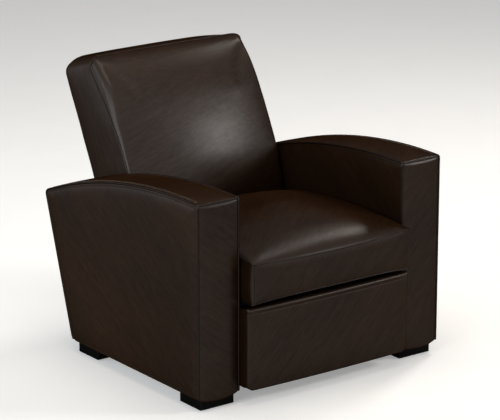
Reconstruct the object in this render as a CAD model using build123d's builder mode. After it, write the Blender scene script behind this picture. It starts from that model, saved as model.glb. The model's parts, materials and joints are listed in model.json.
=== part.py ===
from build123d import *
from math import atan2, cos, radians, sin, sqrt, tan
import os

# A push-back recliner armchair for a home cinema, upholstered in dark leather.
# Millimetres, +Z up. The chair faces -Y and +X is on the right of someone who looks at its front.
# "right" in a name means +X, "left" means -X. Side views are drawn as (y, z) points.

# ---------------------------------------------------------------- driving dimensions

clearance = 0.3            # between soft pieces that are only laid against each other
leather = 3.0              # leather with its backing, thickness of every cover

# Feet
foot_height = 40.0
foot_width = 115.0
foot_length = 102.0
foot_side_inset = 15.0     # from the outer side of the arm
foot_front_inset = 12.0    # from the front of the arm
foot_rear_inset = 14.0     # from the rear lower corner of the arm
foot_edge_radius = 4.0
glide_radius = 12.5
glide_height = 5.0
glide_recess = 3.0
foot_bolt_radius = 4.0
foot_bolt_head_radius = 7.0
foot_bolt_head_height = 5.0
foot_bolt_grip = 28.0      # length of the bolt inside the arm frame
foot_bolt_offset = 30.0    # from the middle of the foot, towards the rear

# Arms
arm_front = -418.0         # y of the front faces of the arms
arm_gap = 580.0            # clear width between the arms
arm_width = 140.0
arm_length = 644.0         # along the underside
arm_rise = 560.0           # from the underside to the top of the arch
arch_radius = 1850.0
arch_apex = 95.0           # highest point of the arch, behind the arm front
arm_rear_rake = 16.2       # degrees from the vertical
arm_rear_top_radius = 14.0
arm_rear_bottom_radius = 25.0
arm_edge_radius = 7.0
arm_padding_side = 3.0     # wadding on the inner side of the arm
arm_padding_outer = 9.0
arm_padding_top = 25.0
arm_frame_bar = 45.0       # depth of the bars of the wooden frame
arm_board = 18.0           # inner board that carries the mechanism

# Reclining mechanism
steel = 4.0                # thickness of the links and plates
link_gap = 3.0             # between neighbouring layers of links
link_width = 20.0
pin_radius = 4.0
pin_running_fit = 0.1
pin_head_radius = 7.0
pin_head_height = 1.8
swing_length = 105.0
swing_rest_lean = 35.0     # degrees, top of the swing links towards the rear
swing_base_height = 124.0  # lower swing pivots above the underside of the arms
front_swing_setback = 170.0
rear_swing_ahead = 204.0   # in front of the rear lower corner of the arm
swing_tube_radius = 9.0
swing_tube_wall = 2.0
swing_tube_place = 0.35    # share of the swing link's length, from its lower pivot
rail_height = 40.0
rail_overhang = 40.0
rail_bolt_radius = 4.0
rail_bolt_pitch = 85.0
plate_depth = 30.0         # of the seat plate below the swing pivots
plate_rise = 12.0          # of the seat plate above the swing pivots
plate_flange = 40.0
back_pivot_ahead = 84.0    # in front of the rear lower corner of the arm
back_pivot_rise = 20.0     # above the upper swing pivots
back_pivot_boss = 14.0

# Seat
seat_frame_setback = 25.0
seat_frame_back_gap = 26.0 # from the seat frame to the bosses of the back pivots
seat_frame_height = 24.0
seat_frame_gap = 19.0      # from the rails to the arms
seat_rail_width = 60.0
webbing = 2.0
webbing_width = 50.0
webbing_count = 5
deck = 5.7
cushion_gap = 15.0         # from the seat cushion to each arm
cushion_overhang = 51.0    # in front of the arms
cushion_tail = 20.0        # how far the cushion reaches behind the seat frame
cushion_edge_height = 118.0
cushion_crown = 36.0
cushion_waist = 4.0        # how far the sides draw in between the corners
cushion_front_round = 8.0
cushion_edge_swell = 11.0  # rise of the side seams behind the front
cushion_edge_fall = 29.0   # drop of the side seams at the rear

# Back
back_rake = 24.5           # degrees from the vertical
back_plane_behind = 105.0  # a point on the outer back, behind the rear lower corner of the arm
back_plane_rise = 445.0    # and above the underside of the arms
back_gap = 17.0            # from the back cushion to each arm
back_bottom = -230.0       # along the back from that point
back_top = 336.0           # front edge of the top
back_top_rise = 24.0       # rear edge of the top above its front edge
back_top_round = 18.0
back_thickness_top = 125.0
back_thickness_lumbar = 181.0
back_thickness_bottom = 122.0
back_lumbar = -23.0        # height of the thickest place, along the back
back_crown = 24.0
back_low_puff = 10.0       # the front face beside its seams, in front of them, low down
back_high_puff = 38.0      # and from the upper rib on
back_edge_width = 30.0
back_swell_place = 60.0    # where the crown is fullest, along the back
back_swell_reach = 420.0
back_lower_rib = 95.0      # sections of the back, below and above its thickest place
back_middle_rib = 130.0
back_upper_rib = 250.0
back_webbing_count = 4
back_seat_gap = 1.0
outer_panel = 11.7
back_frame_thickness = 30.0
back_stile_width = 45.0
back_frame_gap = 9.0       # from the frame to the side of the back
back_screw_radius = 3.0
back_screw_low = 25.0      # screws of the brackets, above the lower end of the back frame
back_screw_high = 85.0

# Footrest
footrest_gap = 4.0         # to each arm
footrest_slot = 12.0       # below the seat cushion
footrest_height = 244.0
footrest_front = 38.0      # in front of the arms
footrest_rear = 12.0       # behind the arm fronts
footrest_crown = 5.0
footrest_corner = 22.0
footrest_board_thickness = 12.0
footrest_roll_radius = 7.0
footrest_pivot_setback = 18.0
footrest_pivot_drop = 57.0
footrest_pivot_spacing = 42.0
bracket_flange = 30.0
footrest_link_length = 142.0
footrest_link_lean = 18.0  # degrees, lower end towards the rear
rear_link_setback = 150.0
rear_link_drop = 16.0      # below the upper swing pivots
link_offset_back = 33.0    # from the drive links back to the rear links
link_offset_drop = 14.0
torque_tube_radius = 8.0
torque_tube_wall = 2.0

# Cross rails and the lower rear panel
cross_rail_width = 22.0
cross_rail_rise = 20.0     # above the underside of the arms
cross_rail_gap = 4.0       # below the base rails
front_rail_setback = 300.0
panel_inset = 8.0          # from the rear edges of the arms
panel_cover_thickness = 12.0
panel_board_thickness = 16.0
panel_rise = 273.0
panel_bottom_rise = 12.0
panel_gap = 1.5            # to each arm
dust_cover_thickness = 2.0

# ---------------------------------------------------------------- places that follow from them

arm_base = foot_height
arm_inner = arm_gap / 2
arm_outer = arm_inner + arm_width
arm_rear = arm_front + arm_length
arm_top = arm_base + arm_rise
rake_slope = tan(radians(arm_rear_rake))

# Layers of the mechanism on the right side, from the arm inwards (inner x of each layer)
rail_layer = arm_inner - steel
swing_layer = rail_layer - link_gap - steel
plate_layer = swing_layer - link_gap - steel
first_layer = plate_layer - link_gap - steel
second_layer = first_layer - link_gap - steel
third_layer = second_layer - link_gap - steel

swing_base_z = arm_base + swing_base_height
swing_run = swing_length * sin(radians(swing_rest_lean))
swing_top_z = swing_base_z + swing_length * cos(radians(swing_rest_lean))
front_swing_base = (arm_front + front_swing_setback, swing_base_z)
rear_swing_base = (arm_rear - rear_swing_ahead, swing_base_z)
front_swing_top = (front_swing_base[0] + swing_run, swing_top_z)
rear_swing_top = (rear_swing_base[0] + swing_run, swing_top_z)
plate_top = swing_top_z + plate_rise
back_pivot = (arm_rear - back_pivot_ahead, swing_top_z + back_pivot_rise)

seat_frame_bottom = plate_top + steel
seat_frame_top = seat_frame_bottom + seat_frame_height
deck_bottom = seat_frame_top + webbing + clearance
deck_top = deck_bottom + deck
cushion_bottom = deck_top + clearance
seat_frame_half = arm_inner - seat_frame_gap

footrest_top = cushion_bottom - footrest_slot
footrest_bottom = footrest_top - footrest_height
footrest_half = arm_inner - footrest_gap
footrest_back_y = arm_front + footrest_rear

# Pivots of the footrest linkage. The rear and drive links are parallel, and so are the two
# pivot pairs of the footrest, so the linkage keeps its shape at every angle.
link_reach = (footrest_link_length * sin(radians(footrest_link_lean)),
              -footrest_link_length * cos(radians(footrest_link_lean)))
rear_link_top = (arm_front + rear_link_setback, swing_top_z - rear_link_drop)
drive_link_top = (rear_link_top[0] - link_offset_back, rear_link_top[1] + link_offset_drop)
rear_link_foot = (rear_link_top[0] + link_reach[0], rear_link_top[1] + link_reach[1])
drive_link_knee = (drive_link_top[0] + link_reach[0], drive_link_top[1] + link_reach[1])
drive_link_foot = (drive_link_knee[0], drive_link_knee[1] - footrest_pivot_spacing)
footrest_upper = (footrest_back_y + footrest_pivot_setback, footrest_top - footrest_pivot_drop)
footrest_lower = (footrest_upper[0], footrest_upper[1] - footrest_pivot_spacing)

os.makedirs("parts", exist_ok=True)


def save(piece, label):
    """Label a finished piece and write it."""
    piece.label = label
    export_step(piece, f"parts/{label}.step")


def save_pair(piece, label):
    """Write a right-hand piece and its mirror image as two pieces."""
    save(piece, f"{label}_right")
    with BuildPart() as other:
        add(mirror(piece, about=Plane.YZ))
    save(other.part, f"{label}_left")


def both_sides(piece):
    """A right-hand piece and its mirror image in one group."""
    with BuildPart() as pair:
        add(piece)
        add(mirror(piece, about=Plane.YZ))
    return pair.part


# ---------------------------------------------------------------- arms

def arm_outline(inset_all, inset_top, x):
    """Side profile of an arm at x: flat underside, upright front, arched top, raked rear."""
    front = arm_front + inset_all
    low_rear = arm_rear - inset_all
    crest = arm_top - inset_top
    radius = arch_radius - inset_top
    with BuildSketch(Plane.YZ.offset(x)) as outline:
        with BuildLine():
            Polyline(
                (front, arm_base),
                (low_rear, arm_base),
                (low_rear + (crest - arm_base) * rake_slope, crest),
                (front, crest),
                close=True,
            )
        make_face()
        with Locations((arm_front + arch_apex, crest - radius)):
            Circle(radius, mode=Mode.INTERSECT)
        rear_top = outline.vertices().sort_by(Axis.X)[-1]
        fillet(rear_top, max(arm_rear_top_radius - inset_all, 1))
    return outline.sketch


def box_between(low, high):
    """A block between two corners, inside the part that is being built."""
    width, depth, height = (b - a for a, b in zip(low, high))
    with BuildSketch(Plane.XY.offset(low[2])) as footprint:
        with Locations(((low[0] + high[0]) / 2, (low[1] + high[1]) / 2)):
            Rectangle(width, depth)
    extrude(footprint.sketch, amount=height)


def drill(centres, radius, x_from, x_to):
    """Holes along X through the part that is being built."""
    with BuildSketch(Plane.YZ.offset(x_from)) as holes:
        with Locations(*centres):
            Circle(radius)
    extrude(holes.sketch, amount=x_to - x_from, mode=Mode.SUBTRACT)


foot_x = arm_outer - foot_side_inset - foot_width / 2
foot_y = {
    "front": arm_front + foot_front_inset + foot_length / 2,
    "rear": arm_rear - foot_rear_inset - foot_length / 2,
}
foot_bolt_places = [(foot_x, y + foot_bolt_offset) for y in foot_y.values()]
rail_bolt_places = [
    ((front_swing_base[0] + rear_swing_base[0]) / 2 + i * rail_bolt_pitch, swing_base_z)
    for i in (-1, 0, 1)
]
padding_inner = arm_inner + leather
frame_inner = padding_inner + arm_padding_side
frame_outer = arm_outer - leather - arm_padding_outer
frame_inset = leather + arm_padding_outer
frame_top_inset = leather + arm_padding_top
rail_bolt_end = frame_inner + arm_board - 2
bolt_hole = pin_running_fit + rail_bolt_radius

with BuildPart() as arm_body:
    extrude(arm_outline(0, 0, arm_inner), amount=arm_width)
    low_rear_edge = arm_body.edges().filter_by(Axis.X).group_by(Axis.Z)[0].sort_by(Axis.Y)[-1]
    fillet(low_rear_edge, arm_rear_bottom_radius)
    fillet(arm_body.faces().sort_by(Axis.X)[0].edges(), arm_edge_radius)
    fillet(arm_body.faces().sort_by(Axis.X)[-1].edges(), arm_edge_radius)

with BuildPart() as arm_cavity:
    extrude(arm_outline(leather, leather, arm_inner + leather), amount=arm_width - 2 * leather)
    cavity_rear_edge = arm_cavity.edges().filter_by(Axis.X).group_by(Axis.Z)[0].sort_by(Axis.Y)[-1]
    fillet(cavity_rear_edge, arm_rear_bottom_radius - leather)

with BuildPart() as arm_envelope:
    frame_outline = arm_outline(frame_inset, frame_top_inset, frame_inner)
    extrude(frame_outline, amount=frame_outer - frame_inner)
    frame_rear_edge = arm_envelope.edges().filter_by(Axis.X).group_by(Axis.Z)[0].sort_by(Axis.Y)[-1]
    fillet(frame_rear_edge, arm_rear_bottom_radius - leather)

with BuildPart() as arm_window:
    window_outline = arm_outline(
        frame_inset + arm_frame_bar, frame_top_inset + arm_frame_bar, frame_inner + arm_board
    )
    extrude(window_outline, amount=frame_outer - frame_inner - arm_board)
    with BuildSketch(Plane.XY.offset(arm_base)):
        with Locations(((frame_inner + frame_outer) / 2, 0)):
            Rectangle(3 * arm_width, 3 * arm_length)
    extrude(amount=arm_frame_bar, mode=Mode.SUBTRACT)

with BuildPart() as arm_cover:
    add(arm_body.part)
    add(arm_cavity.part, mode=Mode.SUBTRACT)
    drill(rail_bolt_places, bolt_hole, arm_inner - 1, padding_inner + 1)
save_pair(arm_cover.part, "arm_cover")

with BuildPart() as arm_frame:
    add(arm_envelope.part)
    add(arm_window.part, mode=Mode.SUBTRACT)
    drill(rail_bolt_places, bolt_hole, frame_inner - 1, rail_bolt_end + clearance)
    with BuildSketch(Plane.XY.offset(arm_base)):
        with Locations(*foot_bolt_places):
            Circle(foot_bolt_radius + pin_running_fit)
    extrude(amount=foot_bolt_grip + clearance, mode=Mode.SUBTRACT)
save_pair(arm_frame.part, "arm_frame")

with BuildPart() as arm_padding:
    add(arm_cavity.part)
    add(arm_envelope.part, mode=Mode.SUBTRACT)
    add(arm_window.part)
    drill(rail_bolt_places, bolt_hole, padding_inner - 1, frame_inner)
save_pair(arm_padding.part, "arm_padding")

# ---------------------------------------------------------------- feet

foot_bolt_top = arm_base + foot_bolt_grip
foot_bottom = glide_height - glide_recess
bolt_seat = foot_bottom + 2 * glide_recess
glide_places = [(foot_x, y) for y in foot_y.values()]

for end, y in foot_y.items():
    with BuildPart() as foot:
        with BuildSketch(Plane.XY.offset(foot_bottom)):
            with Locations((foot_x, y)):
                Rectangle(foot_width, foot_length)
        extrude(amount=foot_height - foot_bottom)
        fillet(foot.edges().filter_by(Axis.Z), foot_edge_radius)
        with BuildSketch(Plane.XY.offset(foot_bottom)):
            with Locations((foot_x, y)):
                Circle(glide_radius + pin_running_fit)
        extrude(amount=glide_recess, mode=Mode.SUBTRACT)
        with BuildSketch(Plane.XY.offset(foot_bottom)):
            with Locations((foot_x, y + foot_bolt_offset)):
                Circle(foot_bolt_radius + pin_running_fit)
        extrude(amount=foot_height, mode=Mode.SUBTRACT)
        with BuildSketch(Plane.XY.offset(foot_bottom)):
            with Locations((foot_x, y + foot_bolt_offset)):
                Circle(foot_bolt_head_radius + pin_running_fit)
        extrude(amount=bolt_seat + foot_bolt_head_height - foot_bottom, mode=Mode.SUBTRACT)
    save_pair(foot.part, f"foot_{end}")

with BuildPart() as glides:
    with BuildSketch(Plane.XY):
        with Locations(*glide_places):
            Circle(glide_radius)
    extrude(amount=glide_height)
    chamfer(glides.edges().group_by(Axis.Z)[0], 1)
save(both_sides(glides.part), "foot_glides")

with BuildPart() as foot_bolts:
    with BuildSketch(Plane.XY.offset(bolt_seat)):
        with Locations(*foot_bolt_places):
            Circle(foot_bolt_head_radius)
    extrude(amount=foot_bolt_head_height)
    with BuildSketch(Plane.XY.offset(bolt_seat)):
        with Locations(*foot_bolt_places):
            Circle(foot_bolt_radius)
    extrude(amount=foot_bolt_top - bolt_seat)
save(both_sides(foot_bolts.part), "foot_bolts")

# ---------------------------------------------------------------- cross rails, lower rear panel

front_rail_y = arm_front + front_rail_setback
rail_bottom = arm_base + cross_rail_rise
rail_top = swing_base_z - rail_height / 2 - cross_rail_gap


def rear_face(z, depth):
    """y of a plane parallel to the rear edges of the arms, at height z and a depth in front of them."""
    return arm_rear + (z - arm_base) * rake_slope - panel_inset - depth


def raked_slab(depth, thickness, low, high, half_width):
    """A slab across the chair, parallel to the rear edges of the arms."""
    with BuildSketch(Plane.YZ.offset(-half_width)) as side:
        with BuildLine():
            Polyline(
                (rear_face(low, depth), low),
                (rear_face(high, depth), high),
                (rear_face(high, depth + thickness), high),
                (rear_face(low, depth + thickness), low),
                close=True,
            )
        make_face()
    extrude(side.sketch, amount=2 * half_width)


panel_half = arm_inner - panel_gap
panel_low = arm_base + panel_bottom_rise
panel_high = panel_low + panel_rise
board_depth = panel_cover_thickness
rail_depth = board_depth + panel_board_thickness

with BuildPart() as rear_panel_cover:
    raked_slab(0, panel_cover_thickness, panel_low, panel_high, panel_half)
    fillet(rear_panel_cover.faces().sort_by(Axis.Y)[-1].edges(), 5)
save(rear_panel_cover.part, "rear_panel_cover")

with BuildPart() as rear_panel_board:
    raked_slab(board_depth, panel_board_thickness, panel_low, panel_high, panel_half)
save(rear_panel_board.part, "rear_panel_board")

with BuildPart() as rear_cross_rail:
    raked_slab(rail_depth, cross_rail_width, rail_bottom, rail_top, arm_inner)
save(rear_cross_rail.part, "rear_cross_rail")

with BuildPart() as front_cross_rail:
    box_between(
        (-arm_inner, front_rail_y, rail_bottom), (arm_inner, front_rail_y + cross_rail_width, rail_top)
    )
save(front_cross_rail.part, "front_cross_rail")

with BuildPart() as dust_cover:
    box_between(
        (-panel_half, front_rail_y, rail_bottom - dust_cover_thickness),
        (panel_half, rear_face(rail_bottom - dust_cover_thickness, rail_depth), rail_bottom),
    )
save(dust_cover.part, "dust_cover")

# ---------------------------------------------------------------- links, plates and their pins

def link(holes, layer, width=link_width):
    """A flat steel link round its pivot holes."""
    with BuildPart() as bar:
        with BuildSketch(Plane.YZ.offset(layer)):
            with Locations(*holes):
                Circle(width / 2)
            make_hull()
            with Locations(*holes):
                Circle(pin_radius + pin_running_fit, mode=Mode.SUBTRACT)
        extrude(amount=steel)
    return bar.part


def rivet(centre, x_low, x_high, collar_low, collar_high):
    """A pin along X with a head beyond each end and a collar between the pieces that it joins."""
    with BuildPart() as pin:
        with BuildSketch(Plane.YZ.offset(x_low - pin_head_height)):
            with Locations(centre):
                Circle(pin_radius)
        extrude(amount=x_high - x_low + 2 * pin_head_height)
        for start in (x_low - pin_head_height, x_high):
            with BuildSketch(Plane.YZ.offset(start)):
                with Locations(centre):
                    Circle(pin_head_radius)
            extrude(amount=pin_head_height)
        with BuildSketch(Plane.YZ.offset(collar_low + pin_running_fit)):
            with Locations(centre):
                Circle(pin_head_radius)
        extrude(amount=collar_high - collar_low - 2 * pin_running_fit)
    return pin.part


def cross_tube(centre, half_length, radius, wall):
    """A tube across the chair that ties a left link to its right link."""
    with BuildPart() as tube:
        with BuildSketch(Plane.YZ.offset(-half_length)):
            with Locations(centre):
                Circle(radius)
                Circle(radius - wall, mode=Mode.SUBTRACT)
        extrude(amount=2 * half_length)
    return tube.part


def group(pieces):
    """Separate solids in one named group."""
    with BuildPart() as collection:
        for piece in pieces:
            add(piece)
    return collection.part


def between(a, b, share):
    """The point at a share of the way from a to b."""
    return (a[0] + (b[0] - a[0]) * share, a[1] + (b[1] - a[1]) * share)


with BuildPart() as base_rail:
    box_between(
        (rail_layer, front_swing_base[0] - rail_overhang, swing_base_z - rail_height / 2),
        (arm_inner, rear_swing_base[0] + rail_overhang, swing_base_z + rail_height / 2),
    )
    fillet(base_rail.edges().filter_by(Axis.X), 8)
    drill([front_swing_base, rear_swing_base], pin_radius + pin_running_fit, rail_layer, arm_inner)
    drill(rail_bolt_places, bolt_hole, rail_layer, arm_inner)
save_pair(base_rail.part, "base_rail")

with BuildPart() as rail_bolts:
    with BuildSketch(Plane.YZ.offset(rail_layer - link_gap)):
        with Locations(*rail_bolt_places):
            Circle(2 * rail_bolt_radius)
    extrude(amount=link_gap)
    with BuildSketch(Plane.YZ.offset(rail_layer)):
        with Locations(*rail_bolt_places):
            Circle(rail_bolt_radius)
    extrude(amount=rail_bolt_end - rail_layer)
save(both_sides(rail_bolts.part), "base_rail_bolts")

swing_base_pins = []
swing_top_pins = []
for swing, foot_point, top_point in (
    ("front", front_swing_base, front_swing_top),
    ("rear", rear_swing_base, rear_swing_top),
):
    swing_tube = between(foot_point, top_point, swing_tube_place)
    save(both_sides(link([foot_point, top_point], swing_layer)), f"swing_links_{swing}")
    save(cross_tube(swing_tube, swing_layer, swing_tube_radius, swing_tube_wall), f"swing_tube_{swing}")
    swing_top_pins.append(rivet(top_point, plate_layer, swing_layer + steel,
                                plate_layer + steel, swing_layer))
    with BuildPart() as base_pin:
        with BuildSketch(Plane.YZ.offset(swing_layer - pin_head_height)):
            with Locations(foot_point):
                Circle(pin_head_radius)
        extrude(amount=pin_head_height)
        with BuildSketch(Plane.YZ.offset(swing_layer)):
            with Locations(foot_point):
                Circle(pin_radius)
        extrude(amount=arm_inner - swing_layer)
        with BuildSketch(Plane.YZ.offset(swing_layer + steel + pin_running_fit)):
            with Locations(foot_point):
                Circle(pin_head_radius)
        extrude(amount=link_gap - 2 * pin_running_fit)
    swing_base_pins.append(base_pin.part)
save(both_sides(group(swing_base_pins)), "swing_base_rivets")
save(both_sides(group(swing_top_pins)), "swing_top_rivets")

plate_front = drive_link_top[0] - link_width
plate_rear = back_pivot[0] + back_pivot_boss
seat_front = arm_front + seat_frame_setback
seat_rear = back_pivot[0] - back_pivot_boss - seat_frame_back_gap
flange_inner = plate_layer + steel - plate_flange
flange_front = plate_front
flange_rear = rear_swing_top[0] - link_width
screw_x = plate_layer - plate_flange / 2
screw_places = [(screw_x, y) for y in (flange_front + link_width, flange_rear - link_width)]

with BuildPart() as seat_plate:
    with BuildSketch(Plane.YZ.offset(plate_layer)):
        with BuildLine():
            Polyline(
                (plate_front, swing_top_z - plate_depth),
                (plate_rear, swing_top_z - plate_depth),
                (plate_rear, plate_top),
                (plate_front, plate_top),
                close=True,
            )
        make_face()
        with Locations(back_pivot):
            Circle(back_pivot_boss)
    extrude(amount=steel)
    box_between((flange_inner, flange_front, plate_top), (plate_layer + steel, flange_rear, plate_top + steel))
    drill(
        [front_swing_top, rear_swing_top, rear_link_top, drive_link_top, back_pivot],
        pin_radius + pin_running_fit,
        plate_layer - 1,
        plate_layer + steel,
    )
    with BuildSketch(Plane.XY.offset(plate_top)):
        with Locations(*screw_places):
            Circle(back_screw_radius + pin_running_fit)
    extrude(amount=steel, mode=Mode.SUBTRACT)
save_pair(seat_plate.part, "seat_plate")

with BuildPart() as plate_screws:
    with BuildSketch(Plane.XY.offset(plate_top - pin_head_height)):
        with Locations(*screw_places):
            Circle(2 * back_screw_radius)
    extrude(amount=pin_head_height)
    with BuildSketch(Plane.XY.offset(plate_top)):
        with Locations(*screw_places):
            Circle(back_screw_radius)
    extrude(amount=steel + seat_frame_height / 2)
save(both_sides(plate_screws.part), "seat_plate_screws")

mount_pins = [
    rivet(rear_link_top, first_layer, plate_layer + steel, first_layer + steel, plate_layer),
    rivet(drive_link_top, third_layer, plate_layer + steel, third_layer + steel, plate_layer),
]
save(both_sides(group(mount_pins)), "footrest_mount_rivets")

# ---------------------------------------------------------------- footrest linkage

torque_tube = between(rear_link_top, rear_link_foot, 0.5)
save(both_sides(link([rear_link_top, rear_link_foot], first_layer)), "footrest_rear_links")
save(
    cross_tube(torque_tube, first_layer, torque_tube_radius, torque_tube_wall), "footrest_torque_tube"
)
rear_pin = rivet(rear_link_foot, second_layer, first_layer + steel, second_layer + steel, first_layer)
save(both_sides(rear_pin), "footrest_rear_rivets")
save(
    both_sides(link([rear_link_foot, drive_link_knee, footrest_upper], second_layer)),
    "footrest_mid_links",
)
save(
    both_sides(link([drive_link_top, drive_link_knee, drive_link_foot], third_layer)),
    "footrest_drive_links",
)
save(both_sides(link([drive_link_foot, footrest_lower], second_layer)), "footrest_guide_links")
drive_pins = [
    rivet(place, third_layer, second_layer + steel, third_layer + steel, second_layer)
    for place in (drive_link_knee, drive_link_foot)
]
save(both_sides(group(drive_pins)), "footrest_drive_rivets")
bracket_pins = [
    rivet(place, second_layer, first_layer + steel, second_layer + steel, first_layer)
    for place in (footrest_upper, footrest_lower)
]
save(both_sides(group(bracket_pins)), "footrest_rivets")

with BuildPart() as footrest_bracket:
    with BuildSketch(Plane.YZ.offset(first_layer)):
        with Locations(footrest_upper, footrest_lower):
            Circle(link_width / 2)
        with Locations(
            (footrest_back_y + steel, footrest_upper[1] + link_width),
            (footrest_back_y + steel, footrest_lower[1] - link_width),
        ):
            Circle(steel / 2)
        make_hull()
        with Locations(footrest_upper, footrest_lower):
            Circle(pin_radius + pin_running_fit, mode=Mode.SUBTRACT)
    extrude(amount=steel)
    box_between(
        (first_layer - bracket_flange, footrest_back_y, footrest_lower[1] - link_width),
        (first_layer + steel, footrest_back_y + steel, footrest_upper[1] + link_width),
    )
save(both_sides(footrest_bracket.part), "footrest_brackets")

# ---------------------------------------------------------------- footrest panel

def footrest_form(inset, rear_y):
    """Padded panel: crowned front, sides drawn in a little, rounded lower corners."""
    low = footrest_bottom + inset
    high = footrest_top - footrest_roll_radius - inset
    half = footrest_half - inset
    front = arm_front - footrest_front + inset
    stations = (
        (low, half - footrest_corner, front + 8),
        (low + 6, half - 8, front + 3),
        (low + footrest_corner, half - 1, front),
        ((low + high) / 2, half - 2, front - footrest_crown),
        (high - 10, half, front),
        (high, half - 3, front + 4),
    )
    with BuildPart() as form:
        for z, side, face_y in stations:
            with BuildSketch(Plane.XY.offset(z)):
                with BuildLine():
                    Polyline((-side, face_y + 6), (-side, rear_y), (side, rear_y), (side, face_y + 6))
                    ThreePointArc((side, face_y + 6), (0, face_y - footrest_crown), (-side, face_y + 6))
                make_face()
        loft(ruled=True)
    return form.part


roll_centre = (
    arm_front - footrest_front + footrest_roll_radius,
    footrest_top - footrest_roll_radius,
)
board_front = footrest_back_y - footrest_board_thickness
footrest_board_half = footrest_half - 2 * leather

with BuildPart() as footrest_cover:
    add(footrest_form(0, footrest_back_y))
    with BuildSketch(Plane.YZ.offset(-(footrest_half - footrest_corner / 2))):
        with Locations(roll_centre):
            Circle(footrest_roll_radius)
    extrude(amount=2 * footrest_half - footrest_corner)
    add(footrest_form(leather, footrest_back_y + 1), mode=Mode.SUBTRACT)
save(footrest_cover.part, "footrest_cover")

with BuildPart() as footrest_board:
    box_between(
        (-footrest_board_half, board_front, footrest_bottom + footrest_corner),
        (footrest_board_half, footrest_back_y, footrest_top - footrest_roll_radius - 2 * leather),
    )
save(footrest_board.part, "footrest_board")

with BuildPart() as footrest_padding:
    add(footrest_form(leather + clearance, footrest_back_y))
    add(footrest_board.part, mode=Mode.SUBTRACT)
save(footrest_padding.part, "footrest_padding")

# ---------------------------------------------------------------- back

back_start = (arm_rear + back_plane_behind, arm_base + back_plane_rise)
along_back = (0, sin(radians(back_rake)), cos(radians(back_rake)))
back_half = arm_inner - back_gap
back_shoulder = back_top - back_top_round
back_rear_shoulder = back_shoulder + 0.6 * back_top_rise


def on_back(u, v):
    """Side-view point u along the outer back and v in front of it."""
    return (
        back_start[0] + u * along_back[1] - v * along_back[2],
        back_start[1] + u * along_back[2] + v * along_back[1],
    )


def back_level(u, lift):
    """Plane across the back whose front edge is at u and whose rear edge is higher by lift."""
    slope = atan2(lift, back_thickness_top)
    forward = (0, -along_back[2], along_back[1])
    upward = [cos(slope) * along + sin(slope) * ahead for along, ahead in zip(along_back, forward)]
    return Plane(origin=(0, *on_back(u + lift, 0)), x_dir=(1, 0, 0), z_dir=tuple(upward))


def back_thickness(u):
    """Distance from the outer back to the front seam, u along the back."""
    if u < back_lumbar:
        share = (back_lumbar - u) / (back_lumbar - back_bottom)
        return back_thickness_lumbar + (back_thickness_bottom - back_thickness_lumbar) * share ** 1.6
    share = (u - back_lumbar) / (back_top - back_lumbar)
    return back_thickness_lumbar + (back_thickness_top - back_thickness_lumbar) * share


def back_puff(u):
    """How far the front face stands out in front of its seams."""
    share = min(max((u - back_lumbar) / back_upper_rib, 0), 1)
    return back_low_puff + (back_high_puff - back_low_puff) * share


def back_section(u, lift, half, rear, front, puff, crown):
    """Cross-section of the back: flat rear, straight sides, a puffed edge and a crowned front."""
    shoulder = half - back_edge_width
    with BuildSketch(back_level(u, lift)) as section:
        with BuildLine():
            Polyline((half, -front), (half, -rear), (-half, -rear), (-half, -front))
            ThreePointArc(
                (-half, -front), (-half + back_edge_width * 0.3, -front - puff * 0.75),
                (-shoulder, -front - puff),
            )
            ThreePointArc((-shoulder, -front - puff), (0, -front - puff - crown), (shoulder, -front - puff))
            ThreePointArc(
                (shoulder, -front - puff), (half - back_edge_width * 0.3, -front - puff * 0.75),
                (half, -front),
            )
        make_face()
    return section.sketch


def back_form(inset, rear, low, widen=0.0):
    """The back cushion drawn in by inset, from a rear plane and a lower end, with a rounded, sloping top."""
    half = back_half - inset + widen
    heights = [low, back_lumbar - back_lower_rib, back_lumbar]
    heights += [back_lumbar + back_middle_rib, back_lumbar + back_upper_rib, back_shoulder]
    sections = []
    for u in heights:
        lift = back_rear_shoulder - back_shoulder if u == back_shoulder else 0
        crown = back_crown * (1 - ((u - back_swell_place) / back_swell_reach) ** 2)
        front = back_thickness(u) - inset
        sections.append(back_section(u, lift, half, rear, front, back_puff(u), crown))
    top_sections = [sections[-1]]
    for rise, draw in ((0.65, 0.3), (1.0, 0.8)):
        u = back_shoulder + back_top_round * rise - inset
        tuck = back_top_round * draw
        front = back_thickness(u) - inset - tuck
        fullness = 1 - draw / 2
        top_sections.append(
            back_section(
                u, back_top_rise, half - tuck, max(rear, inset) + tuck, front,
                back_puff(u) * fullness, crown * fullness,
            )
        )
    with BuildPart() as form:
        loft(sections)
        loft(top_sections, ruled=True)
    return form.part


front_plane = Plane(
    origin=(0, *back_start), x_dir=(1, 0, 0), z_dir=(0, -cos(radians(back_rake)), sin(radians(back_rake)))
)


def back_slab(half, low, high, rear, thickness, mode=Mode.ADD):
    """A board in the plane of the back, from u low to high and from v rear forwards."""
    with BuildSketch(front_plane.offset(rear)) as face:
        with Locations((0, (low + high) / 2)):
            Rectangle(2 * half, high - low)
    extrude(face.sketch, amount=thickness, mode=mode)


back_inner_half = back_half - leather - clearance
back_frame_half = back_half - back_frame_gap
frame_rear = outer_panel + clearance
frame_front = frame_rear + back_frame_thickness
frame_low = back_bottom + 8
frame_high = back_rear_shoulder - 8
window_half = back_frame_half - back_stile_width
mid_rail = (frame_low + frame_high) / 2
bracket_screws = [
    on_back(frame_low + rise, frame_rear + back_frame_thickness / 2)
    for rise in (back_screw_low, back_screw_high)
]
bracket_end = back_frame_half + steel

with BuildPart() as back_cover:
    add(back_form(0, 0, back_bottom))
    add(back_form(leather, -1, back_bottom - 1), mode=Mode.SUBTRACT)
save(back_cover.part, "back_cover")

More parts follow.
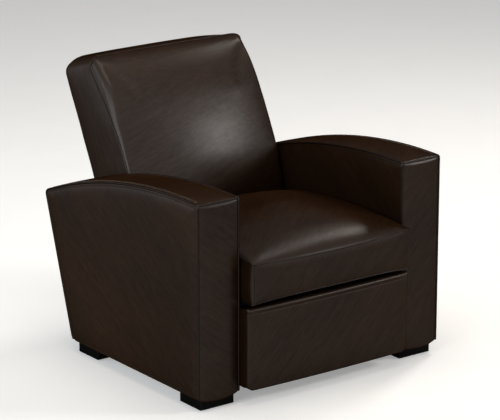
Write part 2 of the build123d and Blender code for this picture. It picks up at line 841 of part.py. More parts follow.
with BuildPart() as back_outer_panel:
    back_slab(back_inner_half, back_bottom, back_rear_shoulder - clearance, 0, outer_panel)
    fillet(back_outer_panel.faces().sort_by(Axis.Y)[-1].edges(), 3)
save(back_outer_panel.part, "back_outer_panel")

with BuildPart() as back_frame:
    back_slab(back_frame_half, frame_low, frame_high, frame_rear, back_frame_thickness)
    for low, high in ((frame_low, mid_rail), (mid_rail, frame_high)):
        back_slab(
            window_half, low + back_stile_width, high - back_stile_width / 2,
            frame_rear, back_frame_thickness, Mode.SUBTRACT,
        )
    for side in (-back_frame_half - 1, window_half):
        drill(bracket_screws, back_screw_radius + pin_running_fit, side, side + back_stile_width + 1)
save(back_frame.part, "back_frame")

with BuildPart() as back_webbing:
    for i in range(back_webbing_count):
        middle = frame_low + (i + 1) * (frame_high - frame_low) / (back_webbing_count + 1)
        back_slab(
            back_frame_half - 5, middle - webbing_width / 2, middle + webbing_width / 2,
            frame_front, webbing,
        )
save(back_webbing.part, "back_webbing")


def bracket_shape(x, grow, thickness, mode=Mode.ADD):
    """Plate from the back pivot to the two screws in the stile of the back frame."""
    with BuildSketch(Plane.YZ.offset(x)) as plate:
        with Locations(back_pivot):
            Circle(back_pivot_boss + grow)
        with Locations(*bracket_screws):
            Circle(link_width / 2 + grow)
        make_hull()
    extrude(plate.sketch, amount=thickness, mode=mode)


with BuildPart() as back_padding:
    add(back_form(leather + clearance, frame_front + webbing + clearance, back_bottom))
    bracket_shape(back_frame_half - 1, 1, back_frame_gap, Mode.SUBTRACT)
    bracket_shape(-back_half, 1, back_frame_gap + 1, Mode.SUBTRACT)
save(back_padding.part, "back_padding")

with BuildPart() as back_bracket:
    bracket_shape(back_frame_half, 0, steel)
    drill([back_pivot], pin_radius + pin_running_fit, back_frame_half - 1, bracket_end)
    drill(bracket_screws, back_screw_radius + pin_running_fit, back_frame_half - 1, bracket_end)
save_pair(back_bracket.part, "back_bracket")

with BuildPart() as back_screws:
    with BuildSketch(Plane.YZ.offset(back_frame_half - back_stile_width / 2)):
        with Locations(*bracket_screws):
            Circle(back_screw_radius)
    extrude(amount=back_stile_width / 2 + steel)
    with BuildSketch(Plane.YZ.offset(bracket_end)):
        with Locations(*bracket_screws):
            Circle(2 * back_screw_radius)
    extrude(amount=(back_inner_half - bracket_end) / 2)
save(both_sides(back_screws.part), "back_bracket_screws")

back_bolt = rivet(back_pivot, back_frame_half, plate_layer + steel, bracket_end, plate_layer)
save(both_sides(back_bolt), "back_pivot_bolts")

# ---------------------------------------------------------------- seat

rail_inner = seat_frame_half - seat_rail_width

with BuildPart() as seat_side_rail:
    box_between((rail_inner, seat_front, seat_frame_bottom), (seat_frame_half, seat_rear, seat_frame_top))
    with BuildSketch(Plane.XY.offset(seat_frame_bottom)):
        with Locations(*screw_places):
            Circle(back_screw_radius + pin_running_fit)
    extrude(amount=seat_frame_height / 2 + clearance, mode=Mode.SUBTRACT)
save_pair(seat_side_rail.part, "seat_side_rail")

for name, low_y in (("front", seat_front), ("rear", seat_rear - seat_rail_width)):
    with BuildPart() as seat_rail:
        box_between(
            (-rail_inner, low_y, seat_frame_bottom), (rail_inner, low_y + seat_rail_width, seat_frame_top)
        )
    save(seat_rail.part, f"seat_{name}_rail")

with BuildPart() as seat_webbing:
    pitch = 2 * rail_inner / webbing_count
    for i in range(webbing_count):
        x = -rail_inner + (i + 0.5) * pitch
        box_between(
            (x - webbing_width / 2, seat_front + 5, seat_frame_top),
            (x + webbing_width / 2, seat_rear - 5, seat_frame_top + webbing),
        )
save(seat_webbing.part, "seat_webbing")

with BuildPart() as seat_deck:
    box_between((-seat_frame_half, seat_front, deck_bottom), (seat_frame_half, seat_rear, deck_top))
save(seat_deck.part, "seat_deck")


def seat_section(y, half, low, edge, crown):
    """Cross-section of the seat cushion: flat below, upright sides, crowned above."""
    with BuildSketch(Plane.XZ.offset(-y)) as section:
        with BuildLine():
            Polyline((-half, edge), (-half, low), (half, low), (half, edge))
            ThreePointArc((half, edge), (0, edge + crown), (-half, edge))
        make_face()
    return section.sketch


def seat_form(inset):
    """Seat cushion drawn in by inset: rounded front, sides that draw in, crowned top."""
    half = arm_inner - cushion_gap - inset
    low = cushion_bottom + inset
    front = arm_front - cushion_overhang + inset
    depth = seat_rear + cushion_tail - inset - front
    edge = cushion_bottom + cushion_edge_height - inset
    swell = cushion_edge_swell
    lip = cushion_front_round
    stations = (
        (lip, half, edge, 2),
        (0.16 * depth, half - 0.7 * cushion_waist, edge + swell, 0.7 * cushion_crown),
        (0.5 * depth, half - cushion_waist, edge + 0.9 * swell, cushion_crown),
        (0.77 * depth, half - 0.6 * cushion_waist, edge - 0.2 * swell, cushion_crown),
        (depth, half, edge - cushion_edge_fall, 0.7 * cushion_crown),
    )
    sections = [
        seat_section(front + place, side, low, side_edge, crown) for place, side, side_edge, crown in stations
    ]
    nose = seat_section(front, half - lip, low + lip, edge - lip, 2)
    with BuildPart() as form:
        loft(sections)
        loft([nose, sections[0]], ruled=True)
    return form.part


def back_room(gap):
    """The space of the back cushion with a gap round it, wider than the seat."""
    return back_form(-gap, 0, back_bottom - gap, back_gap)


with BuildPart() as seat_cushion_core:
    add(seat_form(leather + clearance))
    add(back_room(back_seat_gap + leather + clearance), mode=Mode.SUBTRACT)
save(seat_cushion_core.part, "seat_cushion_core")

with BuildPart() as seat_cushion_hollow:
    add(seat_form(leather))
    add(back_room(back_seat_gap + leather), mode=Mode.SUBTRACT)

with BuildPart() as seat_cushion_cover:
    add(seat_form(0))
    add(back_room(back_seat_gap), mode=Mode.SUBTRACT)
    add(seat_cushion_hollow.part, mode=Mode.SUBTRACT)
save(seat_cushion_cover.part, "seat_cushion_cover")
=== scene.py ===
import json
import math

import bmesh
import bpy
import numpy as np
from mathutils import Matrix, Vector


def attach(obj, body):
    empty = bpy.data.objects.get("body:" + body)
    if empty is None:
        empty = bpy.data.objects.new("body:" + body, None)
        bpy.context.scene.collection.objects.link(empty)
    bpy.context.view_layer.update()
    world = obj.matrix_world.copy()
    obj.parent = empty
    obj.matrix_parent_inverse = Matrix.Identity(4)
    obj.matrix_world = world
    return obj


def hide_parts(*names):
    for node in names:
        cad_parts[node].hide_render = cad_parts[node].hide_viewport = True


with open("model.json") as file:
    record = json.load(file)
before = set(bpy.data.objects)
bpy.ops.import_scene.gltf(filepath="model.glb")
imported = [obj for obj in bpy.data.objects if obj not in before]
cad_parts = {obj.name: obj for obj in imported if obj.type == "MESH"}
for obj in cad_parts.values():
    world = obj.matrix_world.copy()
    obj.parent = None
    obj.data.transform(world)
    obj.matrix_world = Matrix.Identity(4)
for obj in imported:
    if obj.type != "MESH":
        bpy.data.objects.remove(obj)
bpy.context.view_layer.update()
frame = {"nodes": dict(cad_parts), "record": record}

# %% [markdown]
# # A leather recliner armchair
#
# The solid model holds the frame, the linkages and plain forms of the padding. This script dresses
# it: it builds the leather pieces the way an upholsterer cuts them, panel by panel with welts and
# stitching between them, gives every part its finish, and sets the camera and the studio.
# Lengths are in metres, +Z is up and the chair faces -Y. Left is the side with the lower x.

# %% [markdown]
# ## The camera
#
# The chair is built from right angles: the arms, the feet and the footrest all run along the same
# three directions. A camera could be placed by eye, but those directions also give it exactly: where
# the edges of the arms run together in the picture tells how far away it stood and how long its lens
# was. A short lens close by would make the near arm look larger, so it stands 8 metres off.

# %% The camera
camera = bpy.data.objects.new("camera", bpy.data.cameras.new("camera"))
bpy.context.scene.collection.objects.link(camera)
camera.location = (-4.4953, -6.1253, 2.6934)
camera.rotation_euler = (math.radians(90 - 16.71), 0, math.radians(-36.621))
camera.data.sensor_width = 36
camera.data.lens = 2701.5 / 500 * 36
camera.data.clip_end = 60
bpy.context.scene.camera = camera
bpy.context.scene.view_settings.view_transform = "Standard"
print("camera", round((camera.location - Vector((0, 0, 0.4))).length, 2), "m away, lens",
      round(camera.data.lens, 1), "mm")

# %% [markdown]
# ## Shader sums written as Python
#
# A finish is a small network of nodes: a grain, a mottle and a shine that lie on top of each other.
# It could be wired node by node, but that hides what each sum means. So one class wraps a socket and
# lets +, -, * and ** add the Math nodes, with numbers on either side, and any other node comes from
# one method. Directions and places have their own sums, because a Math node knows only one number.

# %% A socket that can be added and multiplied
class Value:
    """One socket of a finish. Sums with it add Math nodes."""

    def __init__(self, finish, socket):
        self.finish, self.socket = finish, socket

    def sum(self, operation, *terms):
        return self.finish.node("ShaderNodeMath", {"operation": operation}, dict(enumerate(terms)))

    def __add__(self, other):
        return self.sum("ADD", self, other)

    def __sub__(self, other):
        return self.sum("SUBTRACT", self, other)

    def __rsub__(self, other):
        return self.sum("SUBTRACT", other, self)

    def __mul__(self, other):
        return self.sum("MULTIPLY", self, other)

    def __pow__(self, other):
        return self.sum("POWER", self, other)

    __radd__ = __add__
    __rmul__ = __mul__

    def between(self, low, high):
        """0 up to low, 1 from high on, and a straight ramp between them."""
        return self.finish.node(
            "ShaderNodeMapRange", {"clamp": True}, {"Value": self, "From Min": low, "From Max": high}
        )


# %% A finish, and the one way to add a node to it
class Finish:
    """A material with its main shader, to which node() adds any node."""

    def __init__(self, name, **constants):
        self.made = bpy.data.materials.new(name)
        self.made.use_nodes = True
        self.tree = self.made.node_tree
        self.shader = self.tree.nodes["Principled BSDF"]
        for socket, value in constants.items():
            self.shader.inputs[socket.replace("_", " ")].default_value = value
        self.place = self.node("ShaderNodeTexCoord", output="Object")

    def node(self, kind, settings=None, sockets=None, output=0):
        """Adds a node of a kind, sets it, feeds its sockets and gives one of its outputs."""
        made = self.tree.nodes.new(kind)
        for setting, value in (settings or {}).items():
            setattr(made, setting, value)
        for socket, value in (sockets or {}).items():
            self.feed(made.inputs[socket], value)
        return Value(self, made.outputs[output])

    def feed(self, socket, value):
        """Links a socket to a value, or sets it to a number or colour."""
        if isinstance(value, Value):
            self.tree.links.new(value.socket, socket)
        else:
            socket.default_value = value

    def colour_mix(self, share, first, second):
        """Mixes two colours, which are a Mix node's inputs 6 and 7, and their mix its output 2."""
        return self.node("ShaderNodeMix", {"data_type": "RGBA"}, {0: share, 6: first, 7: second}, 2)

    def noise(self, place, scale, detail=3.0, roughness=0.55):
        sockets = {"Vector": place, "Scale": scale, "Detail": detail, "Roughness": roughness}
        return self.node("ShaderNodeTexNoise", None, sockets)

    def arrows(self, operation, first, second=(0.0, 0.0, 0.0), output=0):
        """Sums on directions and places."""
        return self.node("ShaderNodeVectorMath", {"operation": operation}, {0: first, 1: second}, output)

    def laid_flat(self, along):
        """A direction without its part that points out of the face, for faces that look along an axis."""
        outward = self.arrows("ABSOLUTE", self.node("ShaderNodeTexCoord", output="Normal"))
        steep = self.arrows("MULTIPLY", self.arrows("SUBTRACT", outward, (0.6,) * 3), (5.0,) * 3)
        steep = self.arrows("MINIMUM", self.arrows("MAXIMUM", steep), (1.0,) * 3)
        kept = self.arrows("MULTIPLY", self.arrows("SUBTRACT", (1.0,) * 3, steep), along)
        return self.arrows("NORMALIZE", kept)

    def drawn_out(self, place, along, share):
        """The same places squeezed along one direction, so that a pattern on them is drawn out along it."""
        reach = self.arrows("DOT_PRODUCT", place, along, "Value") * share
        part = self.node("ShaderNodeVectorMath", {"operation": "SCALE"}, {0: along, "Scale": reach})
        return self.arrows("SUBTRACT", place, part)

    def satin(self, strength):
        """A coat's weight that fades at a glancing angle, where the grain shades its own shine."""
        facing = self.node("ShaderNodeLayerWeight", {}, {"Blend": 0.5}, "Facing")
        return (1 - facing) ** 2.5 * strength

    def bump(self, height, strength, distance, under=None):
        sockets = {"Strength": strength, "Distance": distance, "Height": height}
        if under is not None:
            sockets["Normal"] = under
        return self.node("ShaderNodeBump", None, sockets)


def rgba(red, green, blue):
    """A colour as the eye names it, 0 to 255, turned to the light values that shaders use."""
    shares = [channel / 255 for channel in (red, green, blue)]
    light = [((share + 0.055) / 1.055) ** 2.4 if share > 0.0404 else share / 12.92 for share in shares]
    return (*light, 1.0)


print("finish tools ready")

# %% [markdown]
# ## Leather
#
# The hide is aniline-dyed espresso brown with a soft wax finish: almost black in shade, warm brown
# where light falls from above, with broad soft reflections. Close up it has three things: a pebbled
# grain of about a millimetre, fine streaks that run diagonally over every panel where the wax was
# wiped on, and a slow mottle where the dye took unevenly.
#
# A picture of leather could be laid over the mesh, but it would stretch on round corners and show its
# repeat. So each of these is a pattern in space at its own size. The streaks are two noises whose
# places are squeezed along the wiping direction. That direction is first laid flat on each face,
# because a streak that runs into a face shows only as dots. Every piece of hide was wiped its own
# way, so each has its own direction. The wax is a coat over the brown that fades at a glancing angle.

# %% The leather's finish
def leather_finish(name, dark, warm, coat, coat_roughness, wiped):
    f = Finish(name, Specular_IOR_Level=0.0, Coat_Roughness=coat_roughness)
    along = f.laid_flat(wiped)
    mottle = f.noise(f.drawn_out(f.place, along, 0.5), 6.0, 3.0, 0.5).between(0.3, 0.7)
    streaks = f.noise(f.drawn_out(f.place, along, 0.88), 300.0, 2.0, 0.5).between(0.3, 0.7)
    long_streaks = f.noise(f.drawn_out(f.place, along, 0.9), 90.0, 2.0).between(0.3, 0.7)
    tone = mottle * 0.52 + streaks * 0.24 + long_streaks * 0.24
    f.feed(f.shader.inputs["Base Color"], f.colour_mix(tone, dark, warm))
    f.feed(f.shader.inputs["Roughness"], 0.5 + mottle * 0.2)
    brushed = 0.78 + streaks * 0.26 + long_streaks * 0.18
    f.feed(f.shader.inputs["Coat Weight"], f.satin(coat) * brushed)
    pebbles = f.node("ShaderNodeTexVoronoi", {"feature": "SMOOTH_F1"},
                     {"Vector": f.place, "Scale": 780.0, "Smoothness": 0.6})
    pores = f.noise(f.place, 1500.0, 2.0)
    creases = f.noise(f.drawn_out(f.place, (1, -0.4, 0.3), 0.6), 75.0, 3.0)
    slow = f.bump(creases, 0.35, 0.0012)
    grain = f.bump(pebbles * 0.8 + pores * 0.2, 0.22, 0.0004, slow)
    f.feed(f.shader.inputs["Normal"], grain)
    return f.made


# The direction in which the wax was wiped over each piece of hide.
WIPED_ALONG = {
    "left arm": (-0.84, 1, 0.65), "right arm": (0.8, 1, 0.9), "back": (1, 0.16, 0.35),
    "seat": (1, 0.83, 1), "footrest": (1, 0.2, 1), "rear": (1, 0.3, -0.6),
}
hides = {
    piece: leather_finish(f"espresso leather, {piece}", rgba(24, 14, 8), rgba(44, 28, 16), 0.64, 0.31, along)
    for piece, along in WIPED_ALONG.items()
}
espresso = hides["rear"]
# The welts take a darker copy of the hide with less wax. This is painted shade for the grooves between the
# panels where they sit.
welt_leather_painted_shade = leather_finish("welt leather with painted shade", rgba(20, 12, 8), rgba(34, 22, 14), 0.50, 0.3, (1, 1, 1))
print(len(hides), "leather finishes and", welt_leather_painted_shade.name)

# %% [markdown]
# ## Thread, lacquer, wood, steel and cloth
#
# The feet are black lacquered wood, and the seams are sewn with a bonded thread a shade lighter than
# the hide. The inside of a recliner is plain working material: pale hardwood, black powder-coated
# steel links, zinc rivets, woven elastic webbing and a black lining. They could be one flat colour
# each, since they show only when the footrest is out or from below. But they do show then, so each
# has its own grain, weave or wear from one or two noises and waves.

# %% Thread and lacquer
def thread_finish():
    f = Finish("bonded thread", Specular_IOR_Level=0.35)
    twist = f.node("ShaderNodeTexWave", {"wave_type": "BANDS", "bands_direction": "DIAGONAL"},
                   {"Vector": f.place, "Scale": 900.0, "Distortion": 0.4})
    f.feed(f.shader.inputs["Base Color"], f.colour_mix(twist, rgba(48, 36, 27), rgba(84, 66, 50)))
    f.feed(f.shader.inputs["Roughness"], 0.62 - twist * 0.12)
    f.feed(f.shader.inputs["Normal"], f.bump(twist, 0.5, 0.0002))
    return f.made


def lacquer_finish():
    f = Finish("black lacquer", Specular_IOR_Level=0.0, Coat_Roughness=0.22)
    f.feed(f.shader.inputs["Coat Weight"], f.satin(0.25))
    pores = f.noise(f.drawn_out(f.place, (1, 0, 0), 0.96), 420.0, 3.0).between(0.35, 0.75)
    wear = f.noise(f.place, 24.0, 4.0).between(0.4, 0.7)
    f.feed(f.shader.inputs["Base Color"], f.colour_mix(pores * wear, rgba(8, 8, 8), rgba(20, 18, 17)))
    f.feed(f.shader.inputs["Roughness"], 0.3 + wear * 0.12 + pores * 0.05)
    f.feed(f.shader.inputs["Normal"], f.bump(pores, 0.25, 0.0002))
    return f.made


thread = thread_finish()
lacquer = lacquer_finish()
print("thread and lacquer ready")


# %% Wood, foam, cloth and webbing
def wood_finish():
    f = Finish("hardwood and plywood", Specular_IOR_Level=0.3)
    slow = f.noise(f.drawn_out(f.place, (1, 0, 0), 0.9), 9.0, 4.0).between(0.3, 0.7)
    fibre = f.noise(f.drawn_out(f.place, (1, 0, 0), 0.97), 240.0, 3.0).between(0.3, 0.7)
    rings = f.node("ShaderNodeTexWave", {"wave_type": "BANDS", "bands_direction": "Y"},
                   {"Vector": f.place, "Scale": 14.0, "Distortion": 7.0, "Detail": 3.0, "Detail Scale": 1.5})
    tone = slow * 0.35 + fibre * 0.3 + rings * 0.35
    f.feed(f.shader.inputs["Base Color"], f.colour_mix(tone, rgba(150, 116, 78), rgba(206, 176, 132)))
    f.feed(f.shader.inputs["Roughness"], 0.55 + fibre * 0.15)
    f.feed(f.shader.inputs["Normal"], f.bump(fibre, 0.3, 0.0003))
    return f.made


def woven_finish(name, dark, pale, threads, rough):
    f = Finish(name, Specular_IOR_Level=0.25)
    weave = None
    for direction in ("X", "Y"):
        bands = f.node("ShaderNodeTexWave", {"wave_type": "BANDS", "bands_direction": direction},
                       {"Vector": f.place, "Scale": threads, "Distortion": 0.3})
        weave = bands if weave is None else weave * 0.5 + bands * 0.5
    fuzz = f.noise(f.place, 900.0, 2.0)
    f.feed(f.shader.inputs["Base Color"], f.colour_mix(weave * 0.7 + fuzz * 0.3, dark, pale))
    f.feed(f.shader.inputs["Roughness"], rough - weave * 0.08)
    f.feed(f.shader.inputs["Normal"], f.bump(weave * 0.7 + fuzz * 0.3, 0.5, 0.0005))
    return f.made


hardwood = wood_finish()
lining = woven_finish("black lining", rgba(7, 7, 8), rgba(19, 19, 21), 260.0, 0.95)
webbing = woven_finish("elastic webbing", rgba(60, 50, 38), rgba(104, 88, 66), 190.0, 0.9)
foam = woven_finish("upholstery foam", rgba(196, 188, 164), rgba(226, 220, 200), 120.0, 0.95)
print("wood and cloth ready")


# %% Steel, zinc and nylon
def metal_finish(name, dark, pale, metallic, low, high, bumps):
    f = Finish(name, Metallic=metallic)
    patches = f.noise(f.place, 38.0, 4.0).between(0.3, 0.7)
    fine = f.noise(f.place, bumps, 2.0)
    f.feed(f.shader.inputs["Base Color"], f.colour_mix(patches * 0.7 + fine * 0.3, dark, pale))
    f.feed(f.shader.inputs["Roughness"], patches * (high - low) + low)
    f.feed(f.shader.inputs["Normal"], f.bump(fine, 0.3, 0.0002))
    return f.made


powder_coat = metal_finish("black powder coat", rgba(22, 22, 24), rgba(40, 40, 43), 0.0, 0.42, 0.56, 1400.0)
zinc = metal_finish("zinc plating", rgba(140, 140, 138), rgba(186, 186, 182), 1.0, 0.28, 0.45, 700.0)
nylon = metal_finish("black nylon", rgba(16, 16, 17), rgba(28, 28, 30), 0.0, 0.5, 0.65, 900.0)
print("metals ready")

# %% [markdown]
# ## The parts that are shown as they are
#
# The feet, links, plates, rails and boards keep the solid model's own shape: each only needs its
# finish. They could be listed one by one, but the record already says which material slot each one
# has, so the finish follows from the slot. The leather and foam solids get one too, though the sewn
# pieces below take their place in the picture.

# %% Finishes for the solid model's parts
finish_of_slot = {
    "leather": espresso, "frame_wood": hardwood, "foam": foam, "lining": lining, "webbing": webbing,
    "foot": lacquer, "glide": nylon, "steel": powder_coat, "zinc": zinc,
}
for row in frame["record"]["subparts"]:
    part = frame["nodes"][row["node"]]
    part.data.materials.clear()
    part.data.materials.append(finish_of_slot[row["material_slot"]])
print(len(frame["nodes"]), "parts have their finish")

# %% [markdown]
# ## Sewn panels as a block of cells
#
# Every cushion here starts as a block: six panels that meet along twelve edges. On the real object
# those edges are the seams. The panels could be six sheets laid edge to edge, but then gaps open
# between them when they are puffed out. If all panels share their edge points, the skin is closed and
# the seams stay where they are. So one helper numbers the points on the outside of a block of cells,
# and each piece only has to say where its points go.

# %% A closed skin from a block of cells
def block(across, back, up):
    """The cells' corners on the outside of a block, as (i, j, k), and its outward quads."""
    numbers, quads = {}, []

    def at(*corner):
        return numbers.setdefault(corner, len(numbers))

    for j in range(back):
        for k in range(up):
            quads.append((at(0, j, k), at(0, j, k + 1), at(0, j + 1, k + 1), at(0, j + 1, k)))
            quads.append(tuple(at(across, *corner)
                               for corner in ((j, k), (j + 1, k), (j + 1, k + 1), (j, k + 1))))
    for i in range(across):
        for k in range(up):
            quads.append((at(i, 0, k), at(i + 1, 0, k), at(i + 1, 0, k + 1), at(i, 0, k + 1)))
            quads.append((at(i, back, k), at(i, back, k + 1), at(i + 1, back, k + 1), at(i + 1, back, k)))
    for i in range(across):
        for j in range(back):
            quads.append((at(i, j, 0), at(i, j + 1, 0), at(i + 1, j + 1, 0), at(i + 1, j, 0)))
            quads.append((at(i, j, up), at(i + 1, j, up), at(i + 1, j + 1, up), at(i, j + 1, up)))
    return np.array(list(numbers)), quads


def spread(length, near, far):
    """Places from 0 to length, close together at both ends and further apart in the middle."""
    steps, total = [], 0.0
    while total < length / 2:
        steps.append(min(far, near * 1.35 ** len(steps)))
        total += steps[-1]
    half = np.cumsum([0.0] + steps) * (length / 2) / total
    return np.concatenate([half, length - half[-2::-1]])


def rise(distance, reach):
    """How far a puffed panel has risen at a distance from its seam, from 0 to 1."""
    return 1 - np.exp(-np.maximum(distance, 0) / reach)


def rolled(distance, radius):
    """How far a rolled edge has come up at a distance from it, from 0 to 1, on a quarter circle."""
    return np.sqrt(np.clip(1 - (1 - np.clip(distance / radius, 0, 1)) ** 2, 0, 1))


def round_corner(first, second):
    """For how far points lie inside a corner's square, both ways: which lie there, and their kept share."""
    both = (first > 0) & (second > 0)
    return both, np.where(both, np.maximum(first, second) / np.maximum(np.hypot(first, second), 1e-9), 1.0)


def skin(name, points, faces, finish):
    """A smooth mesh object with a finish, its faces turned outwards."""
    mesh = bpy.data.meshes.new(name)
    mesh.from_pydata([tuple(p) for p in points], [], [tuple(int(n) for n in face) for face in faces])
    work = bmesh.new()
    work.from_mesh(mesh)
    bmesh.ops.recalc_face_normals(work, faces=work.faces)
    work.to_mesh(mesh)
    work.free()
    mesh.shade_smooth()
    mesh.materials.append(finish)
    made = bpy.data.objects.new(name, mesh)
    bpy.context.scene.collection.objects.link(made)
    return made


print("skin helpers ready, a 0.5 m edge in", len(spread(0.5, 0.0025, 0.011)) - 1, "steps")

# %% [markdown]
# ## Welts and stitches
#
# A welt is a cord in a folded strip of leather, sewn between two panels, and a topstitch is a row of
# threads that hold the folded edge flat beside it. Both could be painted as a bump, but a bump casts
# no shadow and leaves the outline smooth. So a welt is a round tube along the seam, half sunk
# between the panels, and each stitch is its own small rounded bar, sunk a little at both ends.

# %% A welt along a line, and a row of stitches
def frames_along(line, closed=False):
    """Unit tangents, and two steady cross directions, at the points of a line."""
    line = np.asarray(line, float)
    ahead = np.roll(line, -1, 0) - np.roll(line, 1, 0)
    if not closed:
        ahead[0], ahead[-1] = line[1] - line[0], line[-1] - line[-2]
    ahead /= np.linalg.norm(ahead, axis=1)[:, None]
    side = np.cross(ahead[0], (0.3, 0.2, 0.93))
    sides = []
    for direction in ahead:
        side = side - direction * (side @ direction)
        side = side / np.linalg.norm(side)
        sides.append(side)
    sides = np.array(sides)
    return line, ahead, sides, np.cross(ahead, sides)


def welt(name, line, radius, closed=False):
    """A round tube along a line, with rounded ends."""
    sides = 12
    line, ahead, one, two = frames_along(line, closed)
    turn = np.linspace(0, 2 * math.pi, sides, endpoint=False)
    radii = np.full(len(line), radius)
    if not closed:
        line = np.vstack([line[0] - ahead[0] * radius * 0.8, line, line[-1] + ahead[-1] * radius * 0.8])
        one, two = np.vstack([one[:1], one, one[-1:]]), np.vstack([two[:1], two, two[-1:]])
        radii = np.concatenate([[radius * 0.35], radii, [radius * 0.35]])
    ring = np.cos(turn)[None, :, None] * one[:, None, :] + np.sin(turn)[None, :, None] * two[:, None, :]
    points = (line[:, None, :] + ring * radii[:, None, None]).reshape(-1, 3)
    count = len(line)
    faces = [
        (a * sides + s, a * sides + (s + 1) % sides, b * sides + (s + 1) % sides, b * sides + s)
        for a, b in [(r, (r + 1) % count) for r in range(count if closed else count - 1)]
        for s in range(sides)
    ]
    if not closed:
        faces += [tuple(range(sides)), tuple((count - 1) * sides + s for s in range(sides))]
    return skin(name, points, faces, welt_leather_painted_shade)


def run_along(line):
    """How far along a line each of its points lies."""
    return np.concatenate([[0], np.cumsum(np.linalg.norm(np.diff(line, axis=0), axis=1))])


def points_at(wanted, run, line):
    """The line's points, or the directions given at them, at other places along its run."""
    return np.stack([np.interp(wanted, run, column) for column in line.T], 1)


def even_line(line, pitch):
    """A line's points again, evenly spaced at about the pitch."""
    line = np.asarray(line, float)
    run = run_along(line)
    return points_at(np.linspace(0, run[-1], max(2, round(run[-1] / pitch) + 1)), run, line)


def stitches(name, line, outward, pitch=0.0075, thickness=0.0007):
    """A row of threads along a line on a surface whose outward directions are given at its points."""
    line, outward = np.asarray(line, float), np.asarray(outward, float)
    run, sides, rings = run_along(line), 6, 5
    # Each ring's place along the thread, its height over the leather and its width.
    place = np.array([0.0, 0.12, 0.5, 0.88, 1.0])
    high = np.array([-0.6, 0.25, 0.45, 0.25, -0.6]) * thickness
    width = np.array([0.45, 0.9, 1.0, 0.9, 0.45]) * thickness
    points, faces = [], []
    for start in np.arange(pitch * 0.2, run[-1] - pitch, pitch):
        at = start + place * pitch * 0.78
        middle, up = points_at(at, run, line), points_at(at, run, outward)
        up /= np.linalg.norm(up, axis=1)[:, None]
        forward = middle[-1] - middle[0]
        forward /= np.linalg.norm(forward)
        cross = np.cross(up, forward)
        first = len(points)
        for m, u, c, h, w in zip(middle, up, cross, high, width):
            for angle in np.linspace(0, 2 * math.pi, sides, endpoint=False):
                points.append(m + u * (h + w * 0.8 * math.sin(angle)) + c * w * math.cos(angle))
        for ring in range(first, first + (rings - 1) * sides, sides):
            for s in range(sides):
                a, b = ring + s, ring + (s + 1) % sides
                faces.append((a, b, b + sides, a + sides))
        faces.append(tuple(range(first, first + sides)))
        faces.append(tuple(range(first + (rings - 1) * sides, first + rings * sides)))
    return skin(name, points, faces, thread)


print("welt and stitch helpers ready")

# %% [markdown]
# ## The arms
#
# Each arm is a slab: an inner and an outer side panel, and one long strip that runs up the front, over
# the arch and down the raked rear. The outline could be traced point by point, but it is four sides
# with four rounded corners, so it is worked out from the maker's sizes. Drawing the same outline
# inwards gives the rounded edges, the grooves beside the welts and the side panels' borders.

# %% The outline of an arm
# Its planes at the foot, its rake and its arch, which is one large circle; then its corners' radii.
FRONT, REAR, UNDERSIDE, INNER, OUTER = -0.418, 0.2215, 0.0335, 0.290, 0.430
RAKE = math.radians(17.05)
ARCH_Y, ARCH_Z, ARCH = -0.3425, -1.2468, 1.850
LOW_FRONT, LOW_REAR, HIGH_REAR, HIGH_FRONT = 0.006, 0.025, 0.014, 0.0035
ARM_LENGTH, ARM_HEIGHT = 0.70, 0.56


def bow(centre, radius, first, last, count=10):
    """Points of an arc in the side view, its angles in degrees."""
    turn = np.radians(np.linspace(first, last, count))
    return np.stack([centre[0] + radius * np.cos(turn), centre[1] + radius * np.sin(turn)], 1)


def resampled(line, shares):
    """Points at shares of a line's length."""
    run = run_along(line)
    return points_at(shares, run / run[-1], line)


def arm_sides(inset, along, up):
    """The bottom, top, front and rear sides of the outline, drawn in by inset: (y, z) at shares of each."""
    corner = [max(radius - inset, 0.0006) for radius in (LOW_FRONT, LOW_REAR, HIGH_REAR, HIGH_FRONT)]

    def on_rake(z, depth):
        return REAR + ((z - UNDERSIDE) * math.sin(RAKE) - depth) / math.cos(RAKE)

    low_front = (FRONT + inset + corner[0], UNDERSIDE + inset + corner[0])
    z = UNDERSIDE + inset + corner[1]
    low_rear = (on_rake(z, inset + corner[1]), z)
    reach, low, high = ARCH - inset - corner[2], 0.30, 0.60
    for _ in range(40):
        z = (low + high) / 2
        outside = math.hypot(on_rake(z, inset + corner[2]) - ARCH_Y, z - ARCH_Z) > reach
        low, high = (low, z) if outside else (z, high)
    top_rear = (on_rake(z, inset + corner[2]), z)
    y = FRONT + inset + corner[3]
    top_front = (y, ARCH_Z + math.sqrt((ARCH - inset - corner[3]) ** 2 - (y - ARCH_Y) ** 2))
    rear_angle = math.degrees(math.atan2(top_rear[1] - ARCH_Z, top_rear[0] - ARCH_Y))
    front_angle = math.degrees(math.atan2(top_front[1] - ARCH_Z, top_front[0] - ARCH_Y))
    tilt = -math.degrees(RAKE)
    rear_mid, front_mid, low_mid = (tilt + rear_angle) / 2, (front_angle + 180) / 2, (270 + 360 + tilt) / 2
    bottom = np.vstack([bow(low_front, corner[0], 225, 270), bow(low_rear, corner[1], 270, low_mid)])
    rear = np.vstack([bow(low_rear, corner[1], low_mid, 360 + tilt),
                      bow(top_rear, corner[2], tilt, rear_mid)])
    arch = bow((ARCH_Y, ARCH_Z), ARCH - inset, front_angle, rear_angle, 60)
    top = np.vstack([bow(top_front, corner[3], front_mid, front_angle), arch,
                     bow(top_rear, corner[2], rear_angle, rear_mid)])
    front = np.vstack([bow(low_front, corner[0], 225, 180), bow(top_front, corner[3], 180, front_mid)])
    return resampled(bottom, along), resampled(top, along), resampled(front, up), resampled(rear, up)


